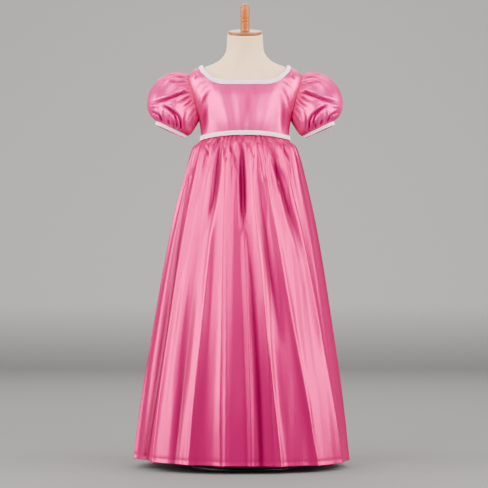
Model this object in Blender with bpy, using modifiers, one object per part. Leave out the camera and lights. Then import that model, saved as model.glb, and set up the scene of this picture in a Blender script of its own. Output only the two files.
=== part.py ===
"""Girl's satin princess dress on a limbless dress form.

The dress has a fitted bodice that opens down the back with a zip, two puff sleeves, a long gathered
skirt, and white braid at the neck, the high waist and the cuffs. It rests on a padded form with a turned
wood neck cap, which stands on a pole and a round base. Metres, +Z up. The front of the dress faces -Y,
the origin is on the floor under the pole, and left and right are the wearer's.
"""

import math
from collections import namedtuple

import bmesh
import bpy
import numpy as np
from mathutils import Matrix, Vector

MM = 0.001

# The dress
CLOTH = 1.5 * MM  # thickness of a satin wall
SEAM_GAP = 0.3 * MM  # space between two sewn pieces
EASE = 1.6 * MM  # space between the form and the inside of the bodice, which its facets nearly fill
WAIST_HEIGHT = 917 * MM  # waist seam at the sides and the back
WAIST_RISE = 12 * MM  # how much higher the seam is at the centre front
HEM_HEIGHT = 18 * MM
HEM_LIFT = 9 * MM  # extra height of the hem at the wearer's right
HEM_SWAY = -11 * MM  # how far the hem hangs towards the wearer's right
ARMPIT_HEIGHT = 966 * MM
SHOULDER_TIP = 1094 * MM
ARMHOLE_REACH = math.radians(22)  # how far the armhole cuts into the front and the back

# Braid
BRAID_WIDTH = 13 * MM
BRAID_THICKNESS = 2.2 * MM
BRAID_GAP = 0.8 * MM  # space under a braid, which the facets of the cloth need
CUFF_BRAID_WIDTH = 9 * MM
BACK_OPENING = math.radians(0.55)  # half of the braids' gap at the zip, about the axis of the form
WAIST_BRAID_BELOW = 5 * MM  # part of the waist braid's width that lies below the seam
WAIST_BRAID_FLARE = 2.6 * MM  # how far its lower edge stands out over the gathers

# Sleeves, with the cuff of the wearer's left arm; the right sleeve is its mirror image
CUFF_CENTRE = np.array([204.6, 0.0, 946.0]) * MM  # where the puff ends and the straight cuff begins
CUFF_RADIUS = 45 * MM
CUFF_DEPTH = 10.5 * MM
CUFF_TILT = math.radians(24.6)  # of the cuff's plane, outer end up
SLEEVE_ROWS = 11
PUFF_SHARE = 1 - 1 / SLEEVE_ROWS  # all rows but the last are puff, and that one is the cuff
SLEEVE_GATHERS = 18
SLEEVE_HEAD_GATHER = 2.4 * MM
SLEEVE_CUFF_GATHER = 3.0 * MM
PUFF_HEAD_TOP = 95 * MM  # reach of the curve that leaves the armhole, at the top and under the arm
PUFF_HEAD_UNDER = 18 * MM
PUFF_CUFF_TOP = 84 * MM  # reach of the curve that comes into the cuff, at the top and under the arm
PUFF_CUFF_UNDER = 16 * MM
PUFF_SPREAD_TOP = 0.35  # how far the curve leaves outwards for each unit away from the body, at the top
PUFF_SPREAD_UNDER = 1.1  # and under the arm
PUFF_ARRIVAL = 0.15  # how far the curve comes in down the arm for each unit towards its middle
HEAD_GATHER_END = 0.55  # shares of the sleeve's rows where the gathers of the armhole end,
CUFF_GATHER_START = 0.55  # where those of the cuff start
CUFF_GATHER_FULL = 0.85  # and where they are deepest

# Zip: a slider with two ears and a pin, and a pull tab that turns on the pin
ZIP_HEIGHT = 1076 * MM  # height of the pin at the centre back
SLIDER_WIDTH = 7.4 * MM
SLIDER_LENGTH = 9 * MM
SLIDER_PLATE = 1.4 * MM
EAR_THICKNESS = 1.2 * MM
EAR_INSET = 0.1 * MM  # from the side of the plate
PIN_RADIUS = 0.6 * MM
BARREL_RADIUS = 1.5 * MM
BARREL_WIDTH = 4.2 * MM
PIN_CLEARANCE = 0.35 * MM
PULL_WIDTH = 5 * MM
PULL_LENGTH = 24 * MM
PULL_THICKNESS = 1.0 * MM
PULL_NECK = 4 * MM  # how far below the pin the tab has its full width
PULL_LEAN = math.radians(9)  # of the hanging tab towards the cloth
TOOL_OVERLAP = 0.4 * MM  # how deep joined shapes go into each other

# Form and stand
NECK_TILT = math.radians(12)  # the top of the neck leans forward
NECK_TOP = 1208 * MM  # at its middle
NECK_BASE = 1148 * MM
NECK_FORWARD = -8 * MM  # where the middle of the neck's top is
CAP_RADIUS = 47 * MM
CAP_THICKNESS = 10 * MM
CAP_ROUNDING = 4 * MM
POLE_RADIUS = 12.5 * MM
BASE_RADIUS = 150 * MM
BASE_THICKNESS = 7 * MM
COLLAR_RADIUS = 24 * MM
COLLAR_HEIGHT = 34 * MM

# The padded form, from its flat seat to the top of the neck: half widths and half depths in mm
Section = namedtuple("Section", "height width front back squareness")
FORM = [
    Section(640, 106, 76, 82, 2.2),
    Section(700, 126, 92, 104, 2.2),
    Section(760, 124, 88, 98, 2.2),
    Section(850, 108, 78, 76, 2.2),
    Section(917, 119, 85, 80, 2.3),
    Section(966, 125, 88, 84, 2.4),
    Section(1000, 138, 85, 86, 2.4),
    Section(1030, 149, 80, 84, 2.4),
    Section(1060, 156, 71, 79, 2.4),
    Section(1080, 157, 64, 73, 2.4),
    Section(1094, 153, 60, 68, 2.3),
    Section(1106, 141, 56, 62, 2.2),
    Section(1114, 124, 54, 58, 2.1),
    Section(1120, 104, 52, 55, 2.0),
    Section(1131, 78, 50, 51, 2.0),
    Section(1148, 60, 49, 47, 2.0),
    Section(1165, 52, 50, 44, 2.0),
    Section(1208, 49, 55, 39, 2.0),
]

# The outside of the skirt over its ridges: half widths and half depths in mm
SKIRT = [
    Section(18, 304, 245, 249, 2.1),
    Section(185, 284, 228, 232, 2.1),
    Section(400, 251, 201, 204, 2.1),
    Section(570, 223, 177, 178, 2.1),
    Section(690, 200, 157, 156, 2.1),
    Section(800, 174, 135, 131, 2.15),
    Section(845, 162, 124, 119, 2.2),
    Section(880, 150, 114, 109, 2.2),
    Section(896, 141, 105, 100, 2.2),
    Section(903, 132, 97, 92, 2.25),
    Section(910, 123, 89, 84, 2.3),
    Section(917, 122, 88, 83, 2.3),
]

# The neck edge: height in mm at an angle from the centre front, the same on both sides
NeckPoint = namedtuple("NeckPoint", "angle height")
NECKLINE = [
    NeckPoint(0, 1074),
    NeckPoint(17, 1074.5),
    NeckPoint(28, 1081),
    NeckPoint(41, 1097),
    NeckPoint(60, 1111),
    NeckPoint(75, 1115.3),
    NeckPoint(90, 1116.4),
    NeckPoint(105, 1115.2),
    NeckPoint(120, 1111.2),
    NeckPoint(150, 1102.5),
    NeckPoint(180, 1099),
]

# The large folds: where each ridge starts at the waist and ends at the hem, in degrees from the centre
# front, and the depth in mm of the valley after it, high up and at the hem. Lean moves the valley towards
# the next ridge (+) or back towards its own (-).
Fold = namedtuple("Fold", "waist_angle hem_angle upper_depth hem_depth lean")
FOLDS = [
    Fold(-170, -170, 6, 16, 0.0),
    Fold(-149, -148, 7, 20, 0.3),
    Fold(-126, -127, 5, 15, -0.3),
    Fold(-104, -103, 5, 14, 0.0),
    Fold(-80, -80, 6, 16, 0.8),
    Fold(-52, -52, 8, 8, 1.0),
    Fold(-22, -27, 2, 14, 0.0),
    Fold(-18, -9.5, 12, 17, 0.5),
    Fold(2, 20, 3, 18, 0.0),
    Fold(12, 43, 8, 6, 0.3),
    Fold(36, 67, 5, 10, 0.0),
    Fold(80, 88, 5, 12, 0.0),
    Fold(103, 104, 6, 18, 0.3),
    Fold(126, 124, 5, 14, -0.2),
    Fold(147, 145, 7, 20, 0.0),
    Fold(169, 168, 5, 14, 0.0),
]
FOLD_ROUNDNESS = 1.2  # 1 gives a sharp ridge, 2 a ridge as round as the valley
FOLD_DRIFT = 0.75  # power of the drop: below 1 the ridges spread most near the waist
FOLD_UPPER_HEIGHT = 800 * MM  # where the folds have their upper depth
FOLD_START = 908 * MM

# The small gathers under the waist braid: their depth each way in mm, at a height in mm
SKIRT_GATHERS = 48
GatherDepth = namedtuple("GatherDepth", "height depth")
GATHER_DEPTHS = [
    GatherDepth(680, 0.0),
    GatherDepth(780, 1.2),
    GatherDepth(850, 2.4),
    GatherDepth(888, 3.0),
    GatherDepth(902, 2.2),
    GatherDepth(910, 0.6),
    GatherDepth(917, 0.3),
]

# The turned knob, from its top down its side: radius and height over the cap in mm
KnobPoint = namedtuple("KnobPoint", "radius height")
KNOB = [
    KnobPoint(0, 75),
    KnobPoint(5, 74),
    KnobPoint(9.5, 71),
    KnobPoint(12, 66),
    KnobPoint(13, 58),
    KnobPoint(13, 37.5),
    KnobPoint(11.4, 35.5),
    KnobPoint(13, 33.5),
    KnobPoint(13, 28.5),
    KnobPoint(11.4, 26.5),
    KnobPoint(13, 24.5),
    KnobPoint(12.6, 8),
    KnobPoint(13.4, 0.3),
    KnobPoint(0, 0.3),
]

# Mesh density
BODICE_COLUMNS = 28  # from one side seam to the other
BODICE_ROWS = 12
SIDE_SEAM_SHARE = 0.27  # of a panel's side edge, below the armhole
SHOULDER_SEAM_SHARE = 0.125  # of a panel's top edge, at each end
BODICE_ROW_CROWDING = 1.25  # above 1, the rows are closer together at the shoulders
SKIRT_COLUMNS = 48  # from one side seam to the other, and twice as many above the folds
SKIRT_ROW_HEIGHTS = [18, 180, 340, 490, 620, 730, 810, 860, 888, 903, 911, 917]
GATHER_ROWS = 5  # top rows that have twice as many columns
BRAID_SPAN = 12 * MM  # length of one facet of a braid
FORM_SIDES = 32
FORM_ROW_HEIGHTS = [640, 665, 700, 760, 850, 885, 917, 966, 1000, 1030, 1060, 1080, 1094, 1106, 1114, 1120]
FORM_ROW_HEIGHTS += [1131, 1148, 1165, 1208]


def smooth(at, stations, values):
    """Values between the stations on a smooth curve that never overshoots them."""
    stations = np.asarray(stations, float)
    values = np.asarray(values, float)
    steps = np.diff(stations)
    slopes = np.diff(values) / steps
    tangents = np.zeros(len(values))
    same_way = slopes[:-1] * slopes[1:] > 0
    inner = np.zeros(len(slopes) - 1)
    inner[same_way] = 2 * slopes[:-1][same_way] * slopes[1:][same_way] / (slopes[:-1] + slopes[1:])[same_way]
    tangents[1:-1] = inner
    tangents[0], tangents[-1] = slopes[0], slopes[-1]
    at = np.clip(at, stations[0], stations[-1])
    i = np.clip(np.searchsorted(stations, at, side="right") - 1, 0, len(steps) - 1)
    t = (at - stations[i]) / steps[i]
    return (
        values[i] * (1 + 2 * t) * (1 - t) ** 2
        + tangents[i] * steps[i] * t * (1 - t) ** 2
        + values[i + 1] * t**2 * (3 - 2 * t)
        - tangents[i + 1] * steps[i] * t**2 * (1 - t)
    )


def column(table, name):
    """One named column of a table."""
    return [getattr(row, name) for row in table]


def unit(vectors):
    return vectors / np.linalg.norm(vectors, axis=-1, keepdims=True)


def section_point(table, angle, height):
    """A point on the lofted sections: an angle from the centre front and a height, both as arrays."""
    heights = column(table, "height")
    level = height / MM
    width = smooth(level, heights, column(table, "width")) * MM
    front = smooth(level, heights, column(table, "front")) * MM
    back = smooth(level, heights, column(table, "back")) * MM
    power = 2 / smooth(level, heights, column(table, "squareness"))
    sine, cosine = np.sin(angle), np.cos(angle)
    depth = np.where(cosine > 0, front, back)
    x = width * np.sign(sine) * np.abs(sine) ** power
    y = -depth * np.sign(cosine) * np.abs(cosine) ** power
    return np.stack([x, y, height + 0 * sine], axis=-1)


def section_slopes(table, angle, height):
    """The two tangents at a point of the sections: for a small turn, and for a small rise."""
    turn, rise = math.radians(0.5), 0.5 * MM
    across = section_point(table, angle + turn, height) - section_point(table, angle - turn, height)
    up = section_point(table, angle, height + rise) - section_point(table, angle, height - rise)
    return across / (2 * turn), up / (2 * rise)


def section_normal(table, angle, height):
    across, up = section_slopes(table, angle, height)
    return unit(np.cross(across, up))


def over_form(angle, height, offset):
    """A point this far outside the form."""
    offset = np.reshape(offset, (-1, 1))
    return section_point(FORM, angle, height) + offset * section_normal(FORM, angle, height)


def moved_on_form(angle, height, along, across, distance):
    """Angle and height of a point moved on the form, at right angles to a path with these slopes."""
    turning, rising = section_slopes(FORM, angle, height)
    path = turning * along[:, None] + rising * across[:, None]
    way = unit(np.cross(section_normal(FORM, angle, height), path)) * distance[:, None]
    tt = np.sum(turning * turning, axis=-1)
    tr = np.sum(turning * rising, axis=-1)
    rr = np.sum(rising * rising, axis=-1)
    wt = np.sum(way * turning, axis=-1)
    wr = np.sum(way * rising, axis=-1)
    determinant = tt * rr - tr * tr
    return angle + (wt * rr - wr * tr) / determinant, height + (wr * tt - wt * tr) / determinant


def neck_height(angle):
    turned = np.degrees(np.abs(angle))
    turned = np.minimum(turned, 360 - turned)
    return smooth(turned, column(NECKLINE, "angle"), column(NECKLINE, "height")) * MM


def waist_height(angle):
    """The waist seam is level at the back and rises to the centre front."""
    return WAIST_HEIGHT + WAIST_RISE * np.clip(np.cos(angle), 0, 1) ** 2


def armhole(turn):
    """Angle and height of the armhole's edge. Turn is 0 at the shoulder tip, 90 degrees at the front."""
    angle = math.pi / 2 - ARMHOLE_REACH * np.sin(turn)
    height = ARMPIT_HEIGHT + (SHOULDER_TIP - ARMPIT_HEIGHT) * (1 + np.cos(turn)) / 2
    return angle, height


def make_material(name, colour, roughness, metallic=0.0):
    material = bpy.data.materials.new(name)
    material.use_nodes = True
    shader = material.node_tree.nodes["Principled BSDF"]
    shader.inputs["Base Color"].default_value = (*colour, 1)
    shader.inputs["Roughness"].default_value = roughness
    shader.inputs["Metallic"].default_value = metallic
    return material


def add_object(name, mesh, material, collection):
    mesh.materials.append(material)
    obj = bpy.data.objects.new(name, mesh)
    collection.objects.link(obj)
    return obj


def finish_mesh(shape, name):
    """Turns a closed bmesh into a mesh with its faces outwards."""
    bmesh.ops.recalc_face_normals(shape, faces=shape.faces)
    if shape.calc_volume(signed=True) < 0:
        bmesh.ops.reverse_faces(shape, faces=shape.faces)
    mesh = bpy.data.meshes.new(name)
    shape.to_mesh(mesh)
    shape.free()
    mesh.shade_smooth()
    mesh.set_sharp_from_angle(angle=math.radians(60))
    return mesh


def wall_mesh(name, columns, rows, place, closed=False, fine_rows=0):
    """A wall bent from a flat slab. place(u, v, w) puts its points, u and v from 0 to 1 along the slab.

    w is 0 on one face of the wall and 1 on the other. Closed joins the slab's ends into a tube.
    The last fine_rows rows get twice as many columns.
    """
    slab = bmesh.new()
    bmesh.ops.create_grid(slab, x_segments=columns, y_segments=rows, size=0.5)
    if fine_rows:
        lowest = 0.5 - (fine_rows + 0.5) / rows
        level = [e for e in slab.edges if abs(e.verts[0].co.y - e.verts[1].co.y) < 0.1 / rows]
        upper = [e for e in level if e.verts[0].co.y > lowest]
        bmesh.ops.subdivide_edges(slab, edges=upper, cuts=1)
    faces = slab.faces[:]
    raised = bmesh.ops.extrude_face_region(slab, geom=faces)["geom"]
    bmesh.ops.translate(slab, verts=[g for g in raised if isinstance(g, bmesh.types.BMVert)], vec=(0, 0, 1))
    flat = np.array([vert.co for vert in slab.verts])
    if closed:
        ends = [f for f in slab.faces if all(abs(abs(v.co.x) - 0.5) < 1e-6 for v in f.verts)]
        bmesh.ops.delete(slab, geom=ends, context="FACES_ONLY")
    places = place(flat[:, 0] + 0.5, flat[:, 1] + 0.5, flat[:, 2])
    for vert, point in zip(slab.verts, places):
        vert.co = point
    if closed:
        bmesh.ops.remove_doubles(slab, verts=slab.verts, dist=0.01 * MM)
    return finish_mesh(slab, name)


def keep_apart(points, axis, side, gap=SEAM_GAP / 2):
    """Keeps a panel on its own side of a seam that lies in the plane through the axis of the form."""
    points[:, axis] = np.where(side * points[:, axis] < gap, side * gap, points[:, axis])


def bodice_panel(name, first, last, back, material, collection):
    """Part of the bodice from one share of its width to another, front or back.

    Its points are spread between its waist, side and armhole, shoulder and neck edges.
    """
    centre = math.pi if back else 0.0
    side_share = SIDE_SEAM_SHARE
    shoulder_share = SHOULDER_SEAM_SHARE

    def side_edge(v):
        """Turn from the centre line and height along one side, from the waist up to the shoulder tip."""
        seam = np.clip(v / side_share, 0, 1)
        turn = math.pi * (1 - np.clip((v - side_share) / (1 - side_share), 0, 1))
        angle, height = armhole(turn)
        low = WAIST_HEIGHT + (ARMPIT_HEIGHT - WAIST_HEIGHT) * seam
        return angle, np.where(v < side_share, low, height)

    def top_edge(u):
        """Turn and height along the shoulder seams and the neck, u from 0 to 1."""
        across = np.clip((u - shoulder_share) / (1 - 2 * shoulder_share), 0, 1)
        turn = (across - 0.5) * math.pi
        beyond = np.clip(np.minimum(u, 1 - u) / shoulder_share, 0, 1)
        seam = SHOULDER_TIP + (neck_height(math.pi / 2) - SHOULDER_TIP) * beyond
        return turn, np.where(beyond < 1, seam, neck_height(turn + centre))

    def place(u, v, w):
        u = first + (last - first) * u
        v = 1 - (1 - v) ** BODICE_ROW_CROWDING
        side_turn, side_height = side_edge(v)
        top_turn, top_height = top_edge(u)
        waist_turn = (u - 0.5) * math.pi
        waist = waist_height(waist_turn + centre) + SEAM_GAP
        # A Coons patch: the two pairs of opposite edges are blended, less the blend of the corners
        across = 2 * u - 1
        turn = (1 - v) * waist_turn + v * top_turn + across * (side_turn - math.pi / 2)
        height = (1 - v) * waist + v * top_height + side_height - (1 - v) * WAIST_HEIGHT - v * SHOULDER_TIP
        points = over_form(turn + centre, height, EASE + CLOTH * w)
        # The waist edge stays level through the wall, for the seam with the skirt
        points[:, 2] += (height - points[:, 2]) * (1 - v) ** 4
        keep_apart(points, 1, 1 if back else -1)
        if back:
            keep_apart(points, 0, -1 if first > 0.25 else 1)
        return points

    columns = round(BODICE_COLUMNS * (last - first))
    return add_object(name, wall_mesh(name, columns, BODICE_ROWS, place), material, collection)


def fold_depth(angle, height):
    """How far the cloth lies inside its outline, between the ridges of the large folds."""
    drop = ((WAIST_HEIGHT - height) / (WAIST_HEIGHT - HEM_HEIGHT)) ** FOLD_DRIFT
    turn = np.degrees(angle)
    ridges = [fold.waist_angle + (fold.hem_angle - fold.waist_angle) * drop for fold in FOLDS]
    ridges.append(ridges[0] + 360)
    turn = np.where(turn < ridges[0], turn + 360, turn)
    inward = np.zeros_like(turn)
    for i, fold in enumerate(FOLDS):
        t = np.clip((turn - ridges[i]) / (ridges[i + 1] - ridges[i]), 0, 1)
        stations = (HEM_HEIGHT, FOLD_UPPER_HEIGHT, FOLD_START)
        depth = smooth(height, stations, (fold.hem_depth, fold.upper_depth, 0)) * MM
        inward += depth * np.sin(math.pi * t ** (2**fold.lean)) ** FOLD_ROUNDNESS
    return inward


def skirt_point(angle, height, inward):
    """A point of the gathered and folded skirt, this far inside its outer face."""
    points = section_point(SKIRT, angle, height)
    spread = unit(points * [1, 1, 0])
    depth = smooth(height / MM, column(GATHER_DEPTHS, "height"), column(GATHER_DEPTHS, "depth")) * MM
    ripple = depth * np.cos(SKIRT_GATHERS * angle)
    points += spread * (ripple - fold_depth(angle, height))[:, None]
    points -= section_normal(SKIRT, angle, height) * inward[:, None]
    share = (height - HEM_HEIGHT) / (WAIST_HEIGHT - HEM_HEIGHT)
    hem = HEM_LIFT * (1 - np.sin(angle)) / 2 * (1 - share) ** 2
    points[:, 2] += share * (waist_height(angle) - WAIST_HEIGHT) + hem
    points[:, 0] += HEM_SWAY * (1 - share)
    return points


def skirt_panel(name, first, last, back, material, collection):
    """Part of the skirt from one share of its width to another, front or back, from waist to hem."""
    centre = math.pi if back else 0.0
    steps = np.linspace(0, 1, len(SKIRT_ROW_HEIGHTS))

    def place(u, v, w):
        height = np.interp(v, steps, SKIRT_ROW_HEIGHTS) * MM
        turn = (first + (last - first) * u - 0.5) * math.pi
        angle = turn + centre
        angle = np.where(angle > math.pi + 1e-9, angle - 2 * math.pi, angle)
        points = skirt_point(angle, height, CLOTH * w)
        # The side and back seams hang straight down from the waist, and swing with the hem
        sway = HEM_SWAY * (1 - (height - HEM_HEIGHT) / (WAIST_HEIGHT - HEM_HEIGHT))
        points[:, 0] -= sway
        keep_apart(points, 1, 1 if back else -1)
        if back:
            keep_apart(points, 0, -1 if first > 0.25 else 1)
        points[:, 0] += sway
        return points

    columns = round(SKIRT_COLUMNS * (last - first))
    mesh = wall_mesh(name, columns, len(SKIRT_ROW_HEIGHTS) - 1, place, fine_rows=GATHER_ROWS)
    return add_object(name, mesh, material, collection)


def cuff_axes():
    """The cuff's way out along the arm, and its outer and front directions."""
    way_out = np.array([math.sin(CUFF_TILT), 0, -math.cos(CUFF_TILT)])
    outer = np.array([math.cos(CUFF_TILT), 0, math.sin(CUFF_TILT)])
    return way_out, outer, np.array([0.0, -1.0, 0.0])


def sleeve_surface(turn, v):
    """The left sleeve without its gathers: a curve from the armhole to the cuff at each turn round it."""
    angle, height = armhole(turn)
    normal = section_normal(FORM, angle, height)
    edge = over_form(angle, height, EASE + CLOTH)
    middle_height = np.full_like(turn, (ARMPIT_HEIGHT + SHOULDER_TIP) / 2)
    middle = over_form(np.full_like(turn, math.pi / 2), middle_height, EASE + CLOTH)
    rim = edge - middle
    rim = unit(rim - normal * np.sum(rim * normal, axis=-1, keepdims=True))
    over = ((1 + np.cos(turn)) / 2)[:, None]  # 1 at the top of the sleeve, 0 under the arm
    way_out, outer, front = cuff_axes()
    spoke = np.cos(turn)[:, None] * outer + np.sin(turn)[:, None] * front
    spread = PUFF_SPREAD_UNDER + (PUFF_SPREAD_TOP - PUFF_SPREAD_UNDER) * over
    leave = unit(np.array([1.0, 0, 0]) + rim * spread)
    arrive = unit(PUFF_ARRIVAL * way_out - spoke)
    # The seam lies just over the bodice's outer face, on whichever face of the sleeve is nearer
    facing = unit(rim - leave * np.sum(rim * leave, axis=-1, keepdims=True))
    lift = np.clip(np.sum(facing * normal, axis=-1, keepdims=True), 0, 1) * CLOTH
    start = edge + normal * (lift + 1.5 * SEAM_GAP)
    end = CUFF_CENTRE + CUFF_RADIUS * spoke
    leaving = start + leave * (PUFF_HEAD_UNDER + (PUFF_HEAD_TOP - PUFF_HEAD_UNDER) * over**0.8)
    arriving = end - arrive * (PUFF_CUFF_UNDER + (PUFF_CUFF_TOP - PUFF_CUFF_UNDER) * over**0.8)
    s = np.clip(v / PUFF_SHARE, 0, 1)[:, None]
    puff = start * (1 - s) ** 3 + 3 * leaving * s * (1 - s) ** 2 + 3 * arriving * s**2 * (1 - s) + end * s**3
    down = np.clip((v - PUFF_SHARE) / (1 - PUFF_SHARE), 0, 1)[:, None]
    return puff + way_out * CUFF_DEPTH * down


def sleeve_point(turn, v, inward):
    """A point of the left sleeve with its gathers, this far inside its outer face."""
    step = 1e-3
    low, high = np.clip(v - step, 0, PUFF_SHARE), np.clip(v + step, 0, PUFF_SHARE)
    low = np.where(v > PUFF_SHARE, PUFF_SHARE, low)
    high = np.where(v > PUFF_SHARE, 1, np.maximum(high, low + step))
    along = sleeve_surface(turn, high) - sleeve_surface(turn, low)
    around = sleeve_surface(turn + step, v) - sleeve_surface(turn - step, v)
    outward = unit(np.cross(around, along))
    over = (1 + np.cos(turn)) / 2
    row = 1 / SLEEVE_ROWS  # the seams' own rows are plain
    head = SLEEVE_HEAD_GATHER * over * np.clip(v / row, 0, 1) * np.clip(1 - v / HEAD_GATHER_END, 0, 1)
    rise = np.clip((v - CUFF_GATHER_START) / (CUFF_GATHER_FULL - CUFF_GATHER_START), 0, 1)
    cuff = SLEEVE_CUFF_GATHER * rise * np.clip((PUFF_SHARE - v) / row, 0, 1)
    ripple = (head + cuff) * np.cos(SLEEVE_GATHERS * turn)
    return sleeve_surface(turn, v) + outward * (ripple - inward)[:, None]


def sleeve(name, side, material, collection):
    """A puff sleeve, gathered into the armhole and into the cuff. Side is 1 for the wearer's left."""

    def place(u, v, w):
        return sleeve_point(2 * math.pi * u, v, CLOTH * w) * [side, 1, 1]

    mesh = wall_mesh(name, 2 * SLEEVE_GATHERS, SLEEVE_ROWS, place, closed=True)
    return add_object(name, mesh, material, collection)


def neck_braid(name, material, collection):
    """Braid round the neck edge, open at the centre back, where the zip ends."""
    opening = BACK_OPENING
    length = 640 * MM

    def place(u, v, w):
        angle = opening - math.pi + u * 2 * (math.pi - opening)
        height = neck_height(angle)
        step = math.radians(0.5)
        rise = (neck_height(angle + step) - neck_height(angle - step)) / (2 * step)
        lower = moved_on_form(angle, height, np.ones_like(u), rise, -BRAID_WIDTH * v)
        offset = EASE + CLOTH + BRAID_GAP + BRAID_THICKNESS * w
        return over_form(*lower, offset)

    mesh = wall_mesh(name, round(length / BRAID_SPAN), 1, place)
    return add_object(name, mesh, material, collection)


def waist_braid(name, material, collection):
    """Braid over the waist seam, open at the centre back."""
    opening = BACK_OPENING
    length = 650 * MM

    def place(u, v, w):
        angle = opening - math.pi + u * 2 * (math.pi - opening)
        height = waist_height(angle) - WAIST_BRAID_BELOW + BRAID_WIDTH * v
        flare = WAIST_BRAID_FLARE * (1 - v)
        return over_form(angle, height, EASE + CLOTH + BRAID_GAP + flare + BRAID_THICKNESS * w)

    mesh = wall_mesh(name, round(length / BRAID_SPAN), 1, place)
    return add_object(name, mesh, material, collection)


def cuff_braid(name, side, material, collection):
    """Braid round the straight end of a sleeve."""
    way_out, outer, front = cuff_axes()
    start = CUFF_DEPTH - CUFF_BRAID_WIDTH - SEAM_GAP

    def place(u, v, w):
        turn = 2 * math.pi * u[:, None]
        spoke = np.cos(turn) * outer + np.sin(turn) * front
        radius = CUFF_RADIUS + SEAM_GAP + BRAID_THICKNESS * w
        centre = CUFF_CENTRE + way_out * (start + CUFF_BRAID_WIDTH * v)[:, None]
        return (centre + spoke * radius[:, None]) * [side, 1, 1]

    mesh = wall_mesh(name, 2 * SLEEVE_GATHERS, 1, place, closed=True)
    return add_object(name, mesh, material, collection)


def zip_frame():
    """Where the pin of the zip's slider is, as a matrix: X along the pin, Y up the cloth, Z out of it."""
    angle, height = np.array([math.pi]), np.array([ZIP_HEIGHT])
    up = Vector(unit(section_slopes(FORM, angle, height)[1])[0])
    out = Vector(section_normal(FORM, angle, height)[0])
    side = up.cross(out)
    face = Vector(over_form(angle, height, EASE + CLOTH)[0])
    origin = face + out * (SEAM_GAP + SLIDER_PLATE + SEAM_GAP + BARREL_RADIUS)
    turned = Matrix((side, up, out)).transposed().to_4x4()
    return Matrix.Translation(origin) @ turned


def block(size, centre):
    """A box as a mesh of its own."""
    shape = bmesh.new()
    bmesh.ops.create_cube(shape, size=1, matrix=Matrix.Translation(centre) @ Matrix.Diagonal((*size, 1)))
    mesh = bpy.data.meshes.new("block")
    shape.to_mesh(mesh)
    shape.free()
    return mesh


def rod(radius, width, sides=16):
    """A cylinder along X through the origin."""
    shape = bmesh.new()
    turned = Matrix.Rotation(math.pi / 2, 4, "Y")
    bmesh.ops.create_cone(
        shape, cap_ends=True, segments=sides, radius1=radius, radius2=radius, depth=width, matrix=turned
    )
    mesh = bpy.data.meshes.new("rod")
    shape.to_mesh(mesh)
    shape.free()
    return mesh


def combine(obj, mesh, operation, cutters):
    """Adds a shape to an object, or cuts it away, with a Boolean modifier."""
    tool = bpy.data.objects.new(f"{obj.name}_tool_{len(cutters.objects)}", mesh)
    cutters.objects.link(tool)
    tool.matrix_world = obj.matrix_world
    tool.hide_render = True
    tool.display_type = "WIRE"
    boolean = obj.modifiers.new(operation.lower(), "BOOLEAN")
    boolean.operation = operation
    boolean.object = tool


def zip_slider(material, collection, cutters):
    """The slider: a plate on the cloth, and two ears that hold the pin."""
    plate_top = -BARREL_RADIUS - SEAM_GAP
    plate = block((SLIDER_WIDTH, SLIDER_LENGTH, SLIDER_PLATE), (0, 0, plate_top - SLIDER_PLATE / 2))
    slider = add_object("zip_slider", plate, material, collection)
    slider.matrix_world = zip_frame()
    ear_top = BARREL_RADIUS
    ear_height = ear_top - plate_top + TOOL_OVERLAP
    ear_x = (SLIDER_WIDTH - EAR_THICKNESS) / 2 - EAR_INSET
    for side in (-1, 1):
        size = (EAR_THICKNESS, 2 * BARREL_RADIUS, ear_height)
        ear = block(size, (side * ear_x, 0, ear_top - ear_height / 2))
        combine(slider, ear, "UNION", cutters)
    combine(slider, rod(PIN_RADIUS, 2 * ear_x), "UNION", cutters)
    return slider


def zip_pull(material, collection, cutters):
    """The pull tab: a barrel round the pin, and a plate that hangs from it."""
    start = BARREL_RADIUS - 0.5 * TOOL_OVERLAP
    length = PULL_LENGTH - start
    plate = block((PULL_WIDTH, length, PULL_THICKNESS), (0, -start - length / 2, 0))
    tab = add_object("zip_pull", plate, material, collection)
    tab.matrix_world = zip_frame() @ Matrix.Rotation(PULL_LEAN, 4, "X")
    for side in (-1, 1):
        # The plate is as narrow as the barrel where it passes between the ears
        size = (PULL_WIDTH, 2 * BARREL_RADIUS, 4 * BARREL_RADIUS)
        notch = block(size, (side * (BARREL_WIDTH + PULL_WIDTH) / 2, -PULL_NECK + BARREL_RADIUS, 0))
        combine(tab, notch, "DIFFERENCE", cutters)
    combine(tab, rod(BARREL_RADIUS, BARREL_WIDTH), "UNION", cutters)
    combine(tab, rod(PIN_RADIUS + PIN_CLEARANCE, 2 * PULL_WIDTH), "DIFFERENCE", cutters)
    return tab


def neck_lean(points):
    """Tips the rows of the neck forward, more towards its top."""
    share = np.clip((points[:, 2] - NECK_BASE) / (NECK_TOP - NECK_BASE), 0, 1)
    points[:, 2] += (points[:, 1] - NECK_FORWARD) * math.tan(NECK_TILT) * share


def form_torso(material, collection):
    """The padded body of the form, closed by a flat seat below and a flat neck top."""
    shape = bmesh.new()
    rows = len(FORM_ROW_HEIGHTS) - 1
    bmesh.ops.create_grid(shape, x_segments=FORM_SIDES, y_segments=rows, size=0.5)
    flat = np.array([vert.co for vert in shape.verts])
    height = np.interp(flat[:, 1] + 0.5, np.linspace(0, 1, rows + 1), FORM_ROW_HEIGHTS) * MM
    points = section_point(FORM, 2 * math.pi * flat[:, 0], height)
    neck_lean(points)
    for vert, point in zip(shape.verts, points):
        vert.co = point
    bmesh.ops.remove_doubles(shape, verts=shape.verts, dist=0.01 * MM)
    bmesh.ops.holes_fill(shape, edges=[edge for edge in shape.edges if edge.is_boundary], sides=0)
    return add_object("form_torso", finish_mesh(shape, "form_torso"), material, collection)


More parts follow.
